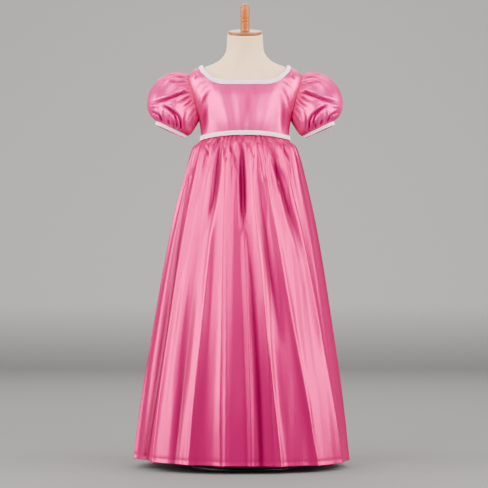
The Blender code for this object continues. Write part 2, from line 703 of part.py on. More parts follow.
def turned_object(name, outline, sides, material, collection):
    """A turned solid, from an outline of radius and height that starts and ends on the axis."""
    shape = bmesh.new()
    verts = [shape.verts.new((radius, 0, height)) for radius, height in outline]
    for above, below in zip(verts, verts[1:]):
        shape.edges.new((above, below))
    mesh = bpy.data.meshes.new(name)
    shape.to_mesh(mesh)
    shape.free()
    obj = add_object(name, mesh, material, collection)
    screw = obj.modifiers.new("turn", "SCREW")
    screw.steps = screw.render_steps = sides
    screw.use_merge_vertices = True
    screw.merge_threshold = 0.0001
    return obj


def neck_matrix():
    """The middle of the neck's top, with Z along the neck."""
    place = Matrix.Translation((0, NECK_FORWARD, NECK_TOP))
    return place @ Matrix.Rotation(NECK_TILT, 4, "X")


def neck_cap(material, collection):
    """The round wood cap on the neck, with rounded edges."""
    outline = [(0, CAP_THICKNESS)]
    ring = CAP_RADIUS - CAP_ROUNDING
    for step in range(5):
        turn = math.pi / 2 * step / 4
        drop = CAP_ROUNDING * (1 - math.cos(turn))
        outline.append((ring + CAP_ROUNDING * math.sin(turn), CAP_THICKNESS - drop))
    outline += [(CAP_RADIUS - 1 * MM, SEAM_GAP), (0, SEAM_GAP)]
    cap = turned_object("neck_cap", outline, 28, material, collection)
    cap.matrix_world = neck_matrix()
    return cap


def neck_knob(material, collection):
    """The turned knob with two rings cut into it."""
    outline = [(point.radius * MM, point.height * MM) for point in KNOB]
    knob = turned_object("neck_knob", outline, 16, material, collection)
    knob.matrix_world = neck_matrix() @ Matrix.Translation((0, 0, CAP_THICKNESS))
    return knob


def disc(name, radius, low, high, bevel, material, collection, sides=40):
    """An upright round solid between two heights."""
    shape = bmesh.new()
    centre = Matrix.Translation((0, 0, (low + high) / 2))
    bmesh.ops.create_cone(
        shape, cap_ends=True, segments=sides, radius1=radius, radius2=radius, depth=high - low, matrix=centre
    )
    obj = add_object(name, finish_mesh(shape, name), material, collection)
    if bevel:
        edge = obj.modifiers.new("edge", "BEVEL")
        edge.width = bevel
        edge.segments = 1
        edge.limit_method = "ANGLE"
    return obj


def stand(material, collection):
    """The pole under the form, the collar that holds it, and the round base."""
    seat = FORM_ROW_HEIGHTS[0] * MM
    disc("stand_base", BASE_RADIUS, 0, BASE_THICKNESS, 1.5 * MM, material, collection)
    collar = BASE_THICKNESS + COLLAR_HEIGHT
    disc("stand_collar", COLLAR_RADIUS, BASE_THICKNESS + SEAM_GAP, collar, 3 * MM, material, collection, 24)
    disc("stand_pole", POLE_RADIUS, collar + SEAM_GAP, seat - SEAM_GAP, 0, material, collection, 20)


def build():
    for obj in list(bpy.data.objects):
        bpy.data.objects.remove(obj)
    dress = bpy.data.collections.new("princess_dress")
    cutters = bpy.data.collections.new("cutters")
    for collection in (dress, cutters):
        bpy.context.scene.collection.children.link(collection)
    satin = make_material("pink_satin", (0.80, 0.16, 0.33), 0.34)
    braid = make_material("white_braid", (0.86, 0.82, 0.85), 0.6)
    zip_metal = make_material("pink_enamel", (0.75, 0.16, 0.32), 0.35, 0.4)
    linen = make_material("cream_jersey", (0.74, 0.62, 0.52), 0.85)
    wood = make_material("varnished_wood", (0.52, 0.27, 0.12), 0.4)
    steel = make_material("dark_steel", (0.06, 0.06, 0.065), 0.45, 0.6)
    bodice_panel("bodice_front", 0, 1, False, satin, dress)
    bodice_panel("bodice_back_left", 0, 0.5, True, satin, dress)
    bodice_panel("bodice_back_right", 0.5, 1, True, satin, dress)
    skirt_panel("skirt_front", 0, 1, False, satin, dress)
    skirt_panel("skirt_back_left", 0, 0.5, True, satin, dress)
    skirt_panel("skirt_back_right", 0.5, 1, True, satin, dress)
    sleeve("sleeve_left", 1, satin, dress)
    sleeve("sleeve_right", -1, satin, dress)
    neck_braid("neck_braid", braid, dress)
    waist_braid("waist_braid", braid, dress)
    cuff_braid("cuff_braid_left", 1, braid, dress)
    cuff_braid("cuff_braid_right", -1, braid, dress)
    zip_slider(zip_metal, dress, cutters)
    zip_pull(zip_metal, dress, cutters)
    form_torso(linen, dress)
    neck_cap(wood, dress)
    neck_knob(wood, dress)
    stand(steel, dress)


build()
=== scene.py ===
# %% [markdown]
# # A pink satin princess dress on its dress form
#
# The solids from the CAD script are the pattern: where each panel lies, how big it is and where its large
# folds fall. This script dresses them. Every panel is made again as a fine surface worked out with numpy,
# with the small gathers, creases and stitches that a solid is too coarse for, and with materials that are
# built from nodes. Everything is in metres, in the same frame as the solids, with the front facing -Y.

# %% Load the frame
import math
from collections import namedtuple

import bmesh
import bpy
import numpy as np
from mathutils import Matrix, Vector


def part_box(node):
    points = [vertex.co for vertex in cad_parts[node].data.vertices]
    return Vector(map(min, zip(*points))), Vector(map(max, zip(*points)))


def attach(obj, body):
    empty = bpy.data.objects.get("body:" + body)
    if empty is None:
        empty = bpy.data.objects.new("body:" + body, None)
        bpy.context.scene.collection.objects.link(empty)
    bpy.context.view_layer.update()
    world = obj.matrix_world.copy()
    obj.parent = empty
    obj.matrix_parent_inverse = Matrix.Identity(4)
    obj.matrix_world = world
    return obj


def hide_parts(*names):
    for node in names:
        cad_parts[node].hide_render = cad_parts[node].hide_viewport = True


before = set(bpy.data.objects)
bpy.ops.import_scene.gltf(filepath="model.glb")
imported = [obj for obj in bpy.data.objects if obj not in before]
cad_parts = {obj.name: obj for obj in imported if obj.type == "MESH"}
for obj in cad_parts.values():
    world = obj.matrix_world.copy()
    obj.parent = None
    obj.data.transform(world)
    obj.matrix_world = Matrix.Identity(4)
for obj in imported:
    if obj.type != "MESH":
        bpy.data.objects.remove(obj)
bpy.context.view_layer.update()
MM = 0.001

# %% [markdown]
# ## Shader maths
#
# A material is a graph of nodes, and a graph written link by link is hard to read. This class wraps one
# output socket, so that `1 - mask` or `mask * 0.2` adds the Math node it needs. Every other node comes from
# its `node` method: first the node's settings, then the numbers or links of its sockets.


# %% Wrap a socket
class Shade:
    """One output of a material's graph. Arithmetic on it adds Math nodes."""

    def __init__(self, tree, socket=None):
        self.tree = tree
        self.socket = socket

    def node(self, kind, settings=None, sockets=None, output=0):
        made = self.tree.nodes.new(kind)
        for name, value in (settings or {}).items():
            if name == "stops":
                for spare in made.color_ramp.elements[1:]:
                    made.color_ramp.elements.remove(spare)
                made.color_ramp.elements[0].position, made.color_ramp.elements[0].color = value[0]
                for place, colour in value[1:]:
                    made.color_ramp.elements.new(place).color = colour
            else:
                setattr(made, name, value)
        for name, value in (sockets or {}).items():
            if isinstance(value, Shade):
                self.tree.links.new(value.socket, made.inputs[name])
            else:
                made.inputs[name].default_value = value
        return Shade(self.tree, made.outputs[output])

    def math(self, operation, first, second):
        return self.node("ShaderNodeMath", {"operation": operation}, {0: first, 1: second})

    def __add__(self, other):
        return self.math("ADD", self, other)

    def __sub__(self, other):
        return self.math("SUBTRACT", self, other)

    def __rsub__(self, other):
        return self.math("SUBTRACT", other, self)

    def __mul__(self, other):
        return self.math("MULTIPLY", self, other)

    def __pow__(self, other):
        return self.math("POWER", self, other)

    __radd__ = __add__
    __rmul__ = __mul__


# %% [markdown]
# ## Materials
#
# Each finish starts from a Principled shader. What is the same all over the piece, such as the sheen of
# satin, is set on the shader's own socket. What changes from place to place, such as colour, roughness and
# the tiny relief of a weave, comes from nodes. Cloth reads the UV map, which holds metres of cloth, so the
# weave has the same scale on every panel and bends with the folds.


# %% Start a material
def new_finish(name, **constants):
    """A material with a Principled shader: returns it, the shader's node, and a Shade to build with."""
    material = bpy.data.materials.new(name)
    material.use_nodes = True
    tree = material.node_tree
    shader = tree.nodes["Principled BSDF"]
    for socket, value in constants.items():
        shader.inputs[socket.replace("_", " ")].default_value = value
    return material, shader, Shade(tree)


def feed(shader, socket, value):
    """Links what changes over the surface to one of the shader's sockets."""
    value.tree.links.new(value.socket, shader.inputs[socket])


def relief(shade, height, distance, strength=1.0):
    """A Bump node on a height between 0 and 1: distance is the real depth in metres."""
    return shade.node("ShaderNodeBump", {}, {"Height": height, "Distance": distance, "Strength": strength})


def blend_colours(shade, share, low, high):
    """A Mix node between two colours."""
    settings = {"data_type": "RGBA"}
    return shade.node("ShaderNodeMix", settings, {0: share, 6: (*low, 1), 7: (*high, 1)}, 2)


def blend_to(shade, share, start, colour):
    """A Mix node from a colour that comes from nodes to a plain one."""
    return shade.node("ShaderNodeMix", {"data_type": "RGBA"}, {0: share, 6: start, 7: (*colour, 1)}, 2)


# %% Pink satin
def satin(name, deep, light, metallic, sway):
    """Satin has long threads on its face. They lie side by side along the cloth, so it shines in streaks.

    Where the cloth lies in a hollow, its colour is painted shade: redder in a fold and almost crimson deep
    in it, for the light that reaches it only from other pink cloth. Its metallic shine is lowered there too.
    """
    material, shader, shade = new_finish(
        name,
        Anisotropic=0.6,
        Specular_IOR_Level=0.3,
        Specular_Tint=SATIN_TINT,
        Sheen_Weight=0.1,
        Sheen_Roughness=0.5,
        Sheen_Tint=SATIN_TINT,
    )
    cloth = shade.node("ShaderNodeUVMap", {"uv_map": "cloth"})
    along = shade.node("ShaderNodeMapping", {}, {"Vector": cloth, "Scale": (2600.0, 90.0, 1.0)})
    flat = {"noise_dimensions": "2D"}
    threads = shade.node("ShaderNodeTexNoise", flat, {"Vector": along, "Scale": 1.0, "Detail": 2.0})
    wide = shade.node("ShaderNodeMapping", {}, {"Vector": cloth, "Scale": (55.0, 9.0, 1.0)})
    handled = shade.node("ShaderNodeTexNoise", flat, {"Vector": wide, "Scale": 1.0, "Detail": 3.0})
    hollow = shade.node("ShaderNodeAttribute", {"attribute_name": "hollow"}, {}, 2)
    cloth_colour = blend_colours(shade, handled * 0.5 + threads * 0.5, deep, light)
    # Painted shade: in folds the hollow attribute turns the colour redder, then almost crimson, and lowers the metallic
    # shine.
    painted_half_shade = blend_to(shade, hollow * 2, cloth_colour, SATIN_PAINTED_HALF_SHADE)
    feed(shader, "Base Color", blend_to(shade, hollow * 2 - 1, painted_half_shade, SATIN_PAINTED_DEEP_SHADE))
    feed(shader, "Metallic", metallic - hollow * 0.5)
    feed(shader, "Roughness", SATIN_ROUGHNESS - 0.03 + threads * 0.04 + handled * 0.05)
    rumpled = shade.node("ShaderNodeMapping", {}, {"Vector": cloth, "Scale": (34.0, 5.0, 1.0)})
    waves = shade.node("ShaderNodeTexNoise", flat, {"Vector": rumpled, "Scale": 1.0, "Detail": 3.0})
    draped = shade.node("ShaderNodeMapping", {}, {"Vector": cloth, "Scale": (15.0, 1.7, 1.0), "Location": (3.1, 0.4, 0)})
    swell = shade.node("ShaderNodeTexNoise", flat, {"Vector": draped, "Scale": 1.0, "Detail": 1.0})
    feed(shader, "Normal", relief(shade, waves + swell * sway + threads * 0.04, 0.0008))
    return material


SATIN_DEEP = (0.36, 0.0022, 0.075)
SATIN_LIGHT = (0.46, 0.006, 0.115)
# Painted shade: the colours that the satin turns to in its hollows, first redder, then almost crimson.
SATIN_PAINTED_HALF_SHADE, SATIN_PAINTED_DEEP_SHADE = (0.33, 0.0008, 0.078), (0.13, 0.0004, 0.026)
SATIN_TINT = (1.0, 0.05, 0.30, 1)
# Painted light: the bodice and sleeves get a lighter copy of the same satin, with less swell in its relief.
SMOOTH_PAINTED_LIT_DEEP, SMOOTH_PAINTED_LIT_LIGHT = (0.53, 0.010, 0.140), (0.66, 0.028, 0.215)
SATIN_ROUGHNESS = 0.31
satin_finish = satin("pink_satin", SATIN_DEEP, SATIN_LIGHT, 0.62, 16.0)
smooth_painted_lit_finish = satin("pink_satin_smooth_painted_lit", SMOOTH_PAINTED_LIT_DEEP, SMOOTH_PAINTED_LIT_LIGHT, 0.56, 7.0)  # bodice and sleeves


# %% Pink thread
def sewing_thread():
    """Spun thread: a matt pink that varies a little from stitch to stitch."""
    material, shader, shade = new_finish("pink_thread", Roughness=0.6, Specular_IOR_Level=0.2)
    place = shade.node("ShaderNodeTexCoord", {}, {}, 3)
    spun = shade.node("ShaderNodeTexNoise", {}, {"Vector": place, "Scale": 900.0, "Detail": 1.0})
    feed(shader, "Base Color", blend_colours(shade, spun, (0.30, 0.006, 0.06), (0.62, 0.05, 0.20)))
    return material


thread_finish = sewing_thread()


# %% White gimp
def gimp():
    """Shiny white cord, twisted: fine slanting ridges along its length."""
    material, shader, shade = new_finish("white_gimp", Sheen_Weight=0.3, Specular_IOR_Level=0.45)
    cord = shade.node("ShaderNodeUVMap", {"uv_map": "cloth"})
    turned = shade.node("ShaderNodeMapping", {}, {"Vector": cord, "Rotation": (0, 0, math.radians(35))})
    twist = shade.node("ShaderNodeTexWave", {}, {"Vector": turned, "Scale": 260.0, "Distortion": 0.6})
    dust = shade.node("ShaderNodeTexNoise", {}, {"Scale": 70.0, "Detail": 3.0})
    feed(shader, "Base Color", blend_colours(shade, twist * 0.6 + dust * 0.4, (0.78, 0.62, 0.68), (0.95, 0.82, 0.88)))
    feed(shader, "Roughness", 0.62 - twist * 0.12)
    feed(shader, "Normal", relief(shade, twist, 0.00012))
    return material


gimp_finish = gimp()


# %% Cream jersey
def jersey():
    """The fine knit over the padded form: rows of tiny loops, slightly soiled by handling."""
    material, shader, shade = new_finish("cream_jersey", Sheen_Weight=0.25, Specular_IOR_Level=0.25)
    cloth = shade.node("ShaderNodeUVMap", {"uv_map": "cloth"})
    knit = shade.node("ShaderNodeMapping", {}, {"Vector": cloth, "Scale": (1250.0, 900.0, 1.0)})
    loops = shade.node("ShaderNodeTexVoronoi", {"voronoi_dimensions": "2D"}, {"Vector": knit, "Scale": 1.0, "Randomness": 0.25})
    handled = shade.node("ShaderNodeTexNoise", {}, {"Scale": 14.0, "Detail": 4.0})
    tone = handled * 0.7 + loops * 0.3
    feed(shader, "Base Color", blend_colours(shade, tone, (0.53, 0.33, 0.18), (0.66, 0.44, 0.26)))
    feed(shader, "Roughness", 0.80 + loops * 0.12)
    feed(shader, "Normal", relief(shade, 1 - loops, 0.00012))
    return material


jersey_finish = jersey()


# %% Varnished wood
def wood(name, tilt, centre, light, dark):
    """Turned wood under clear varnish. The grain is noise stretched along the piece's own axis."""
    material, shader, shade = new_finish(name, Coat_Roughness=0.22, Specular_IOR_Level=0.2)
    place = shade.node("ShaderNodeTexCoord", {}, {}, 3)
    settings = {"vector_type": "POINT"}
    turned = shade.node("ShaderNodeMapping", settings, {"Vector": place, "Rotation": (-tilt, 0, 0), "Location": centre})
    long = shade.node("ShaderNodeMapping", {}, {"Vector": turned, "Scale": (95.0, 95.0, 9.0)})
    grain = shade.node("ShaderNodeTexNoise", {}, {"Vector": long, "Scale": 1.0, "Detail": 5.0, "Distortion": 0.6})
    pores = shade.node("ShaderNodeMapping", {}, {"Vector": turned, "Scale": (900.0, 900.0, 60.0)})
    fine = shade.node("ShaderNodeTexNoise", {}, {"Vector": pores, "Scale": 1.0, "Detail": 2.0})
    feed(shader, "Base Color", blend_colours(shade, grain * 0.8 + fine * 0.2, dark, light))
    feed(shader, "Roughness", 0.34 + fine * 0.16)
    feed(shader, "Coat Weight", 0.18 - grain * 0.12)
    feed(shader, "Normal", relief(shade, fine, 0.00005))
    return material


NECK_TILT = math.radians(12)
NECK_MIDDLE = Vector((0, -0.008, 1.208))
KNOB_LIGHT, KNOB_DARK = (0.32, 0.082, 0.006), (0.20, 0.040, 0.003)
CAP_LIGHT, CAP_DARK = (0.25, 0.078, 0.013), (0.15, 0.038, 0.006)
grain_centre = tuple(-(Matrix.Rotation(-NECK_TILT, 3, "X") @ NECK_MIDDLE))
knob_finish = wood("knob_wood", NECK_TILT, grain_centre, KNOB_LIGHT, KNOB_DARK)
cap_finish = wood("cap_wood", NECK_TILT, grain_centre, CAP_LIGHT, CAP_DARK)


# %% Pink enamel and dark steel
def painted_metal(name, low, high, roughness, metallic, speckle):
    """Paint on metal: an even colour, with a faint orange-peel relief and a little wear in the gloss."""
    material, shader, shade = new_finish(name, Metallic=metallic, Specular_IOR_Level=0.5)
    peel = shade.node("ShaderNodeTexNoise", {}, {"Scale": speckle, "Detail": 2.0})
    wear = shade.node("ShaderNodeTexNoise", {}, {"Scale": speckle / 12, "Detail": 5.0})
    feed(shader, "Base Color", blend_colours(shade, wear, low, high))
    feed(shader, "Roughness", roughness + wear * 0.12)
    feed(shader, "Normal", relief(shade, peel, 0.00003))
    return material


enamel_finish = painted_metal("pink_enamel", (0.66, 0.10, 0.24), (0.78, 0.16, 0.32), 0.28, 0.35, 2400.0)
steel_finish = painted_metal("dark_steel", (0.035, 0.035, 0.04), (0.075, 0.075, 0.08), 0.38, 0.6, 1200.0)

# %% [markdown]
# ## Meshes from grids
#
# A sheet of cloth is a grid that has been bent. If a formula gives the place of every point of the grid, the
# faces follow from the counting of rows and columns alone. So each piece below is one formula on two
# parameters, and these helpers turn its points into a mesh. They also lay the UV map in metres of cloth.


# %% Grid to mesh
def grid_faces(rows, columns, around):
    """The four corners of every face, as row and column numbers. Around joins the last column to the first."""
    row, column = np.mgrid[0 : rows - 1, 0 : columns if around else columns - 1]
    corner_rows = np.stack([row, row, row + 1, row + 1], axis=-1).reshape(-1, 4)
    corner_columns = np.stack([column, column + 1, column + 1, column], axis=-1).reshape(-1, 4)
    return corner_rows, corner_columns


def cloth_metres(points, around):
    """Distances along the longest row and the longest column of a grid, for the UV map."""
    if around:
        points = np.concatenate([points, points[:, :1]], axis=1)
    across = np.linalg.norm(np.diff(points, axis=1), axis=-1)
    along = np.linalg.norm(np.diff(points, axis=0), axis=-1)
    longest_row = across[across.sum(axis=1).argmax()]
    longest_column = along[:, along.sum(axis=0).argmax()]
    return np.append(0, np.cumsum(longest_row)), np.append(0, np.cumsum(longest_column))


def grid_piece(name, points, around=False, inside=None, merge=False, hollow=None):
    """An object from a grid of points (rows, columns, 3), with its faces turned away from inside.

    Hollow, where given, is kept on the mesh for the material, which paints shade with it: 0 on a ridge of
    the cloth, 1 deep in a fold.
    """
    rows, columns = points.shape[:2]
    corner_rows, corner_columns = grid_faces(rows, columns, around)
    corners = corner_rows * columns + corner_columns % columns
    metres_across, metres_along = cloth_metres(points, around)
    uv = np.stack([metres_across[corner_columns], metres_along[corner_rows]], axis=-1)
    flat = points.reshape(-1, 3)
    a, b, c, d = (flat[corners[:, i]] for i in range(4))
    inside = flat.mean(axis=0) if inside is None else np.asarray(inside, float)
    outward = np.sum(np.cross(c - a, d - b) * ((a + b + c + d) / 4 - inside))
    if outward < 0:
        corners, uv = corners[:, ::-1], uv[:, ::-1]
    mesh = bpy.data.meshes.new(name)
    mesh.from_pydata(flat, [], corners)
    mesh.uv_layers.new(name="cloth").data.foreach_set("uv", uv.astype(np.float32).ravel())
    if hollow is not None:
        depth = mesh.attributes.new("hollow", "FLOAT", "POINT")
        depth.data.foreach_set("value", np.clip(hollow, 0, 1).astype(np.float32).ravel())
    if merge:
        shape = bmesh.new()
        shape.from_mesh(mesh)
        bmesh.ops.remove_doubles(shape, verts=shape.verts, dist=0.002 * MM)
        shape.to_mesh(mesh)
        shape.free()
    mesh.shade_smooth()
    piece = bpy.data.objects.new(name, mesh)
    bpy.context.scene.collection.objects.link(piece)
    return piece


def dress(piece, finish, slot, *nodes, body="dress"):
    """Gives a piece its finish and its body, and hides the CAD nodes it stands for. Its slot is not used."""
    piece.data.materials.clear()
    piece.data.materials.append(finish)
    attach(piece, body)
    if nodes:
        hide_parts(*nodes)
    return piece


def thicken(piece, thickness):
    """Solidify gives a sheet its thickness, inwards from the modelled face."""
    wall = piece.modifiers.new("cloth", "SOLIDIFY")
    wall.thickness = thickness
    wall.offset = -1
    return piece


def area_of(points):
    """Area of a grid of points, in square metres."""
    a, b, c, d = points[:-1, :-1], points[:-1, 1:], points[1:, 1:], points[1:, :-1]
    return float(np.linalg.norm(np.cross(c - a, d - b), axis=-1).sum() / 2)


# %% [markdown]
# ## The form under the dress
#
# A tailor's form is described by sections: at each height, half a width, half a depth in front and behind,
# and how square the section is. A smooth curve through the table gives every height between. The section
# itself is a superellipse: x is the half width times the sine of the angle, raised to a power below one,
# and y the depth times its cosine, raised in the same way. The CAD script uses the same rule.


# %% Smooth curves through a table
def smooth(at, stations, values):
    """Values between the stations, on a cubic in each span whose slopes never overshoot."""
    stations, values = np.asarray(stations, float), np.asarray(values, float)
    steps = np.diff(stations)
    slopes = np.diff(values) / steps
    same_way = slopes[:-1] * slopes[1:] > 0
    total = np.where(same_way, slopes[:-1] + slopes[1:], 1)
    inner = np.where(same_way, 2 * slopes[:-1] * slopes[1:] / total, 0)
    tangents = np.concatenate([slopes[:1], inner, slopes[-1:]])
    at = np.clip(at, stations[0], stations[-1])
    i = np.clip(np.searchsorted(stations, at, side="right") - 1, 0, len(steps) - 1)
    t = (at - stations[i]) / steps[i]
    start = values[i] * (1 + 2 * t) * (1 - t) ** 2 + tangents[i] * steps[i] * t * (1 - t) ** 2
    return start + values[i + 1] * t**2 * (3 - 2 * t) - tangents[i + 1] * steps[i] * t**2 * (1 - t)


def column(table, name):
    return [getattr(row, name) for row in table]


def unit(vectors):
    return vectors / np.linalg.norm(vectors, axis=-1, keepdims=True)


# %% Sections of the form
Section = namedtuple("Section", "height width front back squareness")  # mm
FORM = [
    Section(640, 106, 76, 82, 2.2),
    Section(700, 126, 92, 104, 2.2),
    Section(760, 124, 88, 98, 2.2),
    Section(850, 108, 78, 76, 2.2),
    Section(917, 119, 85, 80, 2.3),
    Section(966, 125, 88, 84, 2.4),
    Section(1000, 138, 85, 86, 2.4),
    Section(1030, 149, 80, 84, 2.4),
    Section(1060, 156, 71, 79, 2.4),
    Section(1080, 157, 64, 73, 2.4),
    Section(1094, 153, 60, 68, 2.3),
    Section(1106, 141, 56, 62, 2.2),
    Section(1114, 124, 54, 58, 2.1),
    Section(1120, 104, 52, 55, 2.0),
    Section(1131, 78, 50, 51, 2.0),
    Section(1148, 60, 49, 47, 2.0),
    Section(1165, 52, 50, 44, 2.0),
    Section(1208, 49, 55, 39, 2.0),
]


def section_point(table, angle, height):
    """A point at an angle from the centre front and a height: the superellipse of the text above."""
    heights = column(table, "height")
    level = height / MM
    width, front, back, squareness = (smooth(level, heights, column(table, name)) for name in table[0]._fields[1:])
    sine, cosine = np.sin(angle), np.cos(angle)
    x = width * MM * np.sign(sine) * np.abs(sine) ** (2 / squareness)
    y = -np.where(cosine > 0, front, back) * MM * np.sign(cosine) * np.abs(cosine) ** (2 / squareness)
    return np.stack([x, y, height + 0 * sine], axis=-1)


def section_slopes(table, angle, height):
    """The two tangents at a point: for a small turn, and for a small rise."""
    turn, rise = math.radians(0.5), 0.5 * MM
    across = section_point(table, angle + turn, height) - section_point(table, angle - turn, height)
    up = section_point(table, angle, height + rise) - section_point(table, angle, height - rise)
    return across / (2 * turn), up / (2 * rise)


def section_normal(table, angle, height):
    return unit(np.cross(*section_slopes(table, angle, height)))


def over_form(angle, height, offset):
    """A point this far outside the form."""
    return section_point(FORM, angle, height) + np.asarray(offset)[..., None] * section_normal(FORM, angle, height)


# %% The padded torso
def torso_points(rows=120, columns=128):
    """The form's sections from its seat to its neck, with rows tipped forward towards the neck's top."""
    angle = np.linspace(0, 2 * math.pi, columns, endpoint=False)[None, :]
    height = np.linspace(0.640, NECK_MIDDLE.z, rows)[:, None] + 0 * angle
    points = section_point(FORM, angle + 0 * height, height)
    share = np.clip((points[..., 2] - 1.148) / (NECK_MIDDLE.z - 1.148), 0, 1)
    points[..., 2] += (points[..., 1] - NECK_MIDDLE.y) * math.tan(NECK_TILT) * share
    # The two ends are closed with rows that shrink to a point
    low, high = points[0].mean(axis=0), points[-1].mean(axis=0)
    rings = np.array([0.0, 0.5, 0.9])[:, None, None]
    bottom = low + (points[0] - low) * rings
    top = high + (points[-1] - high) * rings[::-1]
    return np.concatenate([bottom, points, top])


torso = grid_piece("padded_torso", torso_points(), around=True, merge=True)
dress(torso, jersey_finish, "cream_jersey", "form_torso")
print("torso:", len(torso.data.polygons), "faces")

# %% [markdown]
# ## Turned pieces
#
# The neck cap, the knob and the stand come off a lathe. A lathe shape is an outline of radius and height
# carried round an axis. The outline's corners are rounded first: each corner is replaced by a short curve
# that starts and ends a set distance from it, because no real edge is perfectly sharp and a rounded one
# catches the light.


# %% Lathe
Corner = namedtuple("Corner", "radius height rounding")  # mm


def rounded_outline(corners, steps=6):
    """Each corner as a quadratic curve between two points that lie its rounding away, on its two sides."""
    places = np.array([corner[:2] for corner in corners], float)
    sizes = np.array([corner.rounding for corner in corners], float)[1:-1, None]
    before, middle, after = places[:-2], places[1:-1], places[2:]
    start = middle + unit(before - middle) * sizes
    end = middle + unit(after - middle) * sizes
    t = np.linspace(0, 1, steps)[None, :, None]
    curves = start[:, None] * (1 - t) ** 2 + middle[:, None] * 2 * t * (1 - t) + end[:, None] * t**2
    return np.concatenate([places[:1], curves.reshape(-1, 2), places[-1:]]) * MM


def turned(name, corners, place, sides=96):
    """A lathe shape: x and y are the radius times cosine and sine, z the height, then moved by a matrix."""
    outline = rounded_outline(corners)
    turn = np.linspace(0, 2 * math.pi, sides, endpoint=False)
    ring = np.stack([np.cos(turn), np.sin(turn), 0 * turn], axis=-1)
    points = outline[:, None, :1] * ring + outline[:, None, 1:] * np.array([0, 0, 1.0])
    matrix = np.array(place)
    points = points @ matrix[:3, :3].T + matrix[:3, 3]
    return grid_piece(name, points, around=True, merge=True)


# %% Cap and knob
neck_place = Matrix.Translation(NECK_MIDDLE) @ Matrix.Rotation(NECK_TILT, 4, "X")
CAP = [
    Corner(0, 10, 0),
    Corner(41, 10, 4),
    Corner(47, 8.2, 2.6),
    Corner(47, 3.2, 1.6),
    Corner(45, 0.3, 0.6),
    Corner(0, 0.3, 0),
]
KNOB = [
    Corner(0, 75.3, 0),
    Corner(11.2, 75, 8),
    Corner(13.1, 60, 6),
    Corner(13, 37.3, 0.8),
    Corner(11.3, 35.5, 0.7),
    Corner(13, 33.7, 0.8),
    Corner(13, 28.3, 0.8),
    Corner(11.3, 26.5, 0.7),
    Corner(13, 24.7, 0.8),
    Corner(12.6, 8, 4),
    Corner(13.4, 0.3, 0.5),
    Corner(0, 0.3, 0),
]
cap = dress(turned("wood_neck_cap", CAP, neck_place), cap_finish, "varnished_wood", "neck_cap")
knob_place = neck_place @ Matrix.Translation((0, 0, CAP[0].height * MM))
knob = dress(turned("wood_knob", KNOB, knob_place), knob_finish, "varnished_wood", "neck_knob")

# %% Stand
pole_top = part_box("stand_pole")[1].z / MM
BASE = [Corner(0, 7, 0), Corner(150, 7, 2), Corner(150, 0, 1), Corner(0, 0, 0)]
COLLAR = [Corner(0, 41, 0), Corner(24, 41, 4), Corner(24, 7.3, 1), Corner(0, 7.3, 0)]
POLE = [Corner(0, pole_top, 0), Corner(12.5, pole_top, 1), Corner(12.5, 41.3, 1), Corner(0, 41.3, 0)]
for name, corners in (("base", BASE), ("collar", COLLAR), ("pole", POLE)):
    dress(turned(f"steel_{name}", corners, Matrix()), steel_finish, "dark_steel", f"stand_{name}")

# %% [markdown]
# ## Gathers and creases
#
# Gathered cloth never falls in even waves: some gathers run on far down the cloth and some die at once. Here
# a regular wave is bent to pass through ridges at uneven places, and each ridge gets its own depth and
# length. Creases are listed one by one: each is a soft trough along a bent line, with a low ridge along each
# side, and it fades at both ends. Both give a height over the smooth surface, in metres.


# %% Uneven gathers
def uneven_gathers(turn, count, seed, spread=0.3):
    """A wave of count ridges per full turn, with uneven spacing: its height, and each place's two lots.

    The height is the cosine of the phase. The lots are numbers from 0 to 1, the same along a ridge.
    """
    rng = np.random.default_rng(seed)
    ridges = np.arange(count + 1) + np.append(rng.uniform(-spread, spread, count), 0)
    ridges[-1] = ridges[0] + count
    lots = rng.uniform(0, 1, (2, count))
    lots = np.concatenate([lots, lots[:, :1]], axis=1)
    place = np.mod(turn / (2 * math.pi) * count - ridges[0], count) + ridges[0]
    phase = np.interp(place, ridges, np.arange(count + 1))
    first, second = (np.interp(place, ridges, lot) for lot in lots)
    return np.cos(2 * math.pi * phase), first, second


# %% Listed creases
Crease = namedtuple("Crease", "x0 z0 x1 z1 bow width depth")  # mm, as seen from the front


def creased(x, z, creases):
    """Height of the creases at places seen from the front.

    Along a crease t runs from 0 to 1, and s is the distance from its line, which is bent by bow in the
    middle. The trough is (1 - 1.1 q²) exp(-q²), where q is s over the width, times sin(pi t) to a power that
    is small for a short crease, so that it stays deep up to its ends, and larger for a long one.
    """
    height = np.zeros_like(x)
    for crease in creases:
        start = np.array([crease.x0, crease.z0]) * MM
        way = np.array([crease.x1, crease.z1]) * MM - start
        length = np.hypot(*way)
        way = way / length
        t = ((x - start[0]) * way[0] + (z - start[1]) * way[1]) / length
        inside = np.clip(t, 0, 1)
        s = (x - start[0]) * -way[1] + (z - start[1]) * way[0] - crease.bow * MM * 4 * inside * (1 - inside)
        q = s / (crease.width * MM)
        fade = np.sin(math.pi * inside) ** np.clip(length / 0.12, 0.6, 1.15)
        height -= crease.depth * MM * fade * (1 - 1.1 * q**2) * np.exp(-(q**2))
    return height


# %% [markdown]
# ## The bodice
#
# The bodice is one front and two backs. Each panel is stretched between its four edges: the waist seam, the
# side seam and armhole on each side, and the shoulders and neck. Its two coordinates u and v run from 0 to 1.
# The middle of the panel blends its waist and its top edge, and |2u - 1|³, which is small except near the
# sides, pulls the rest out to the side seam and the armhole.

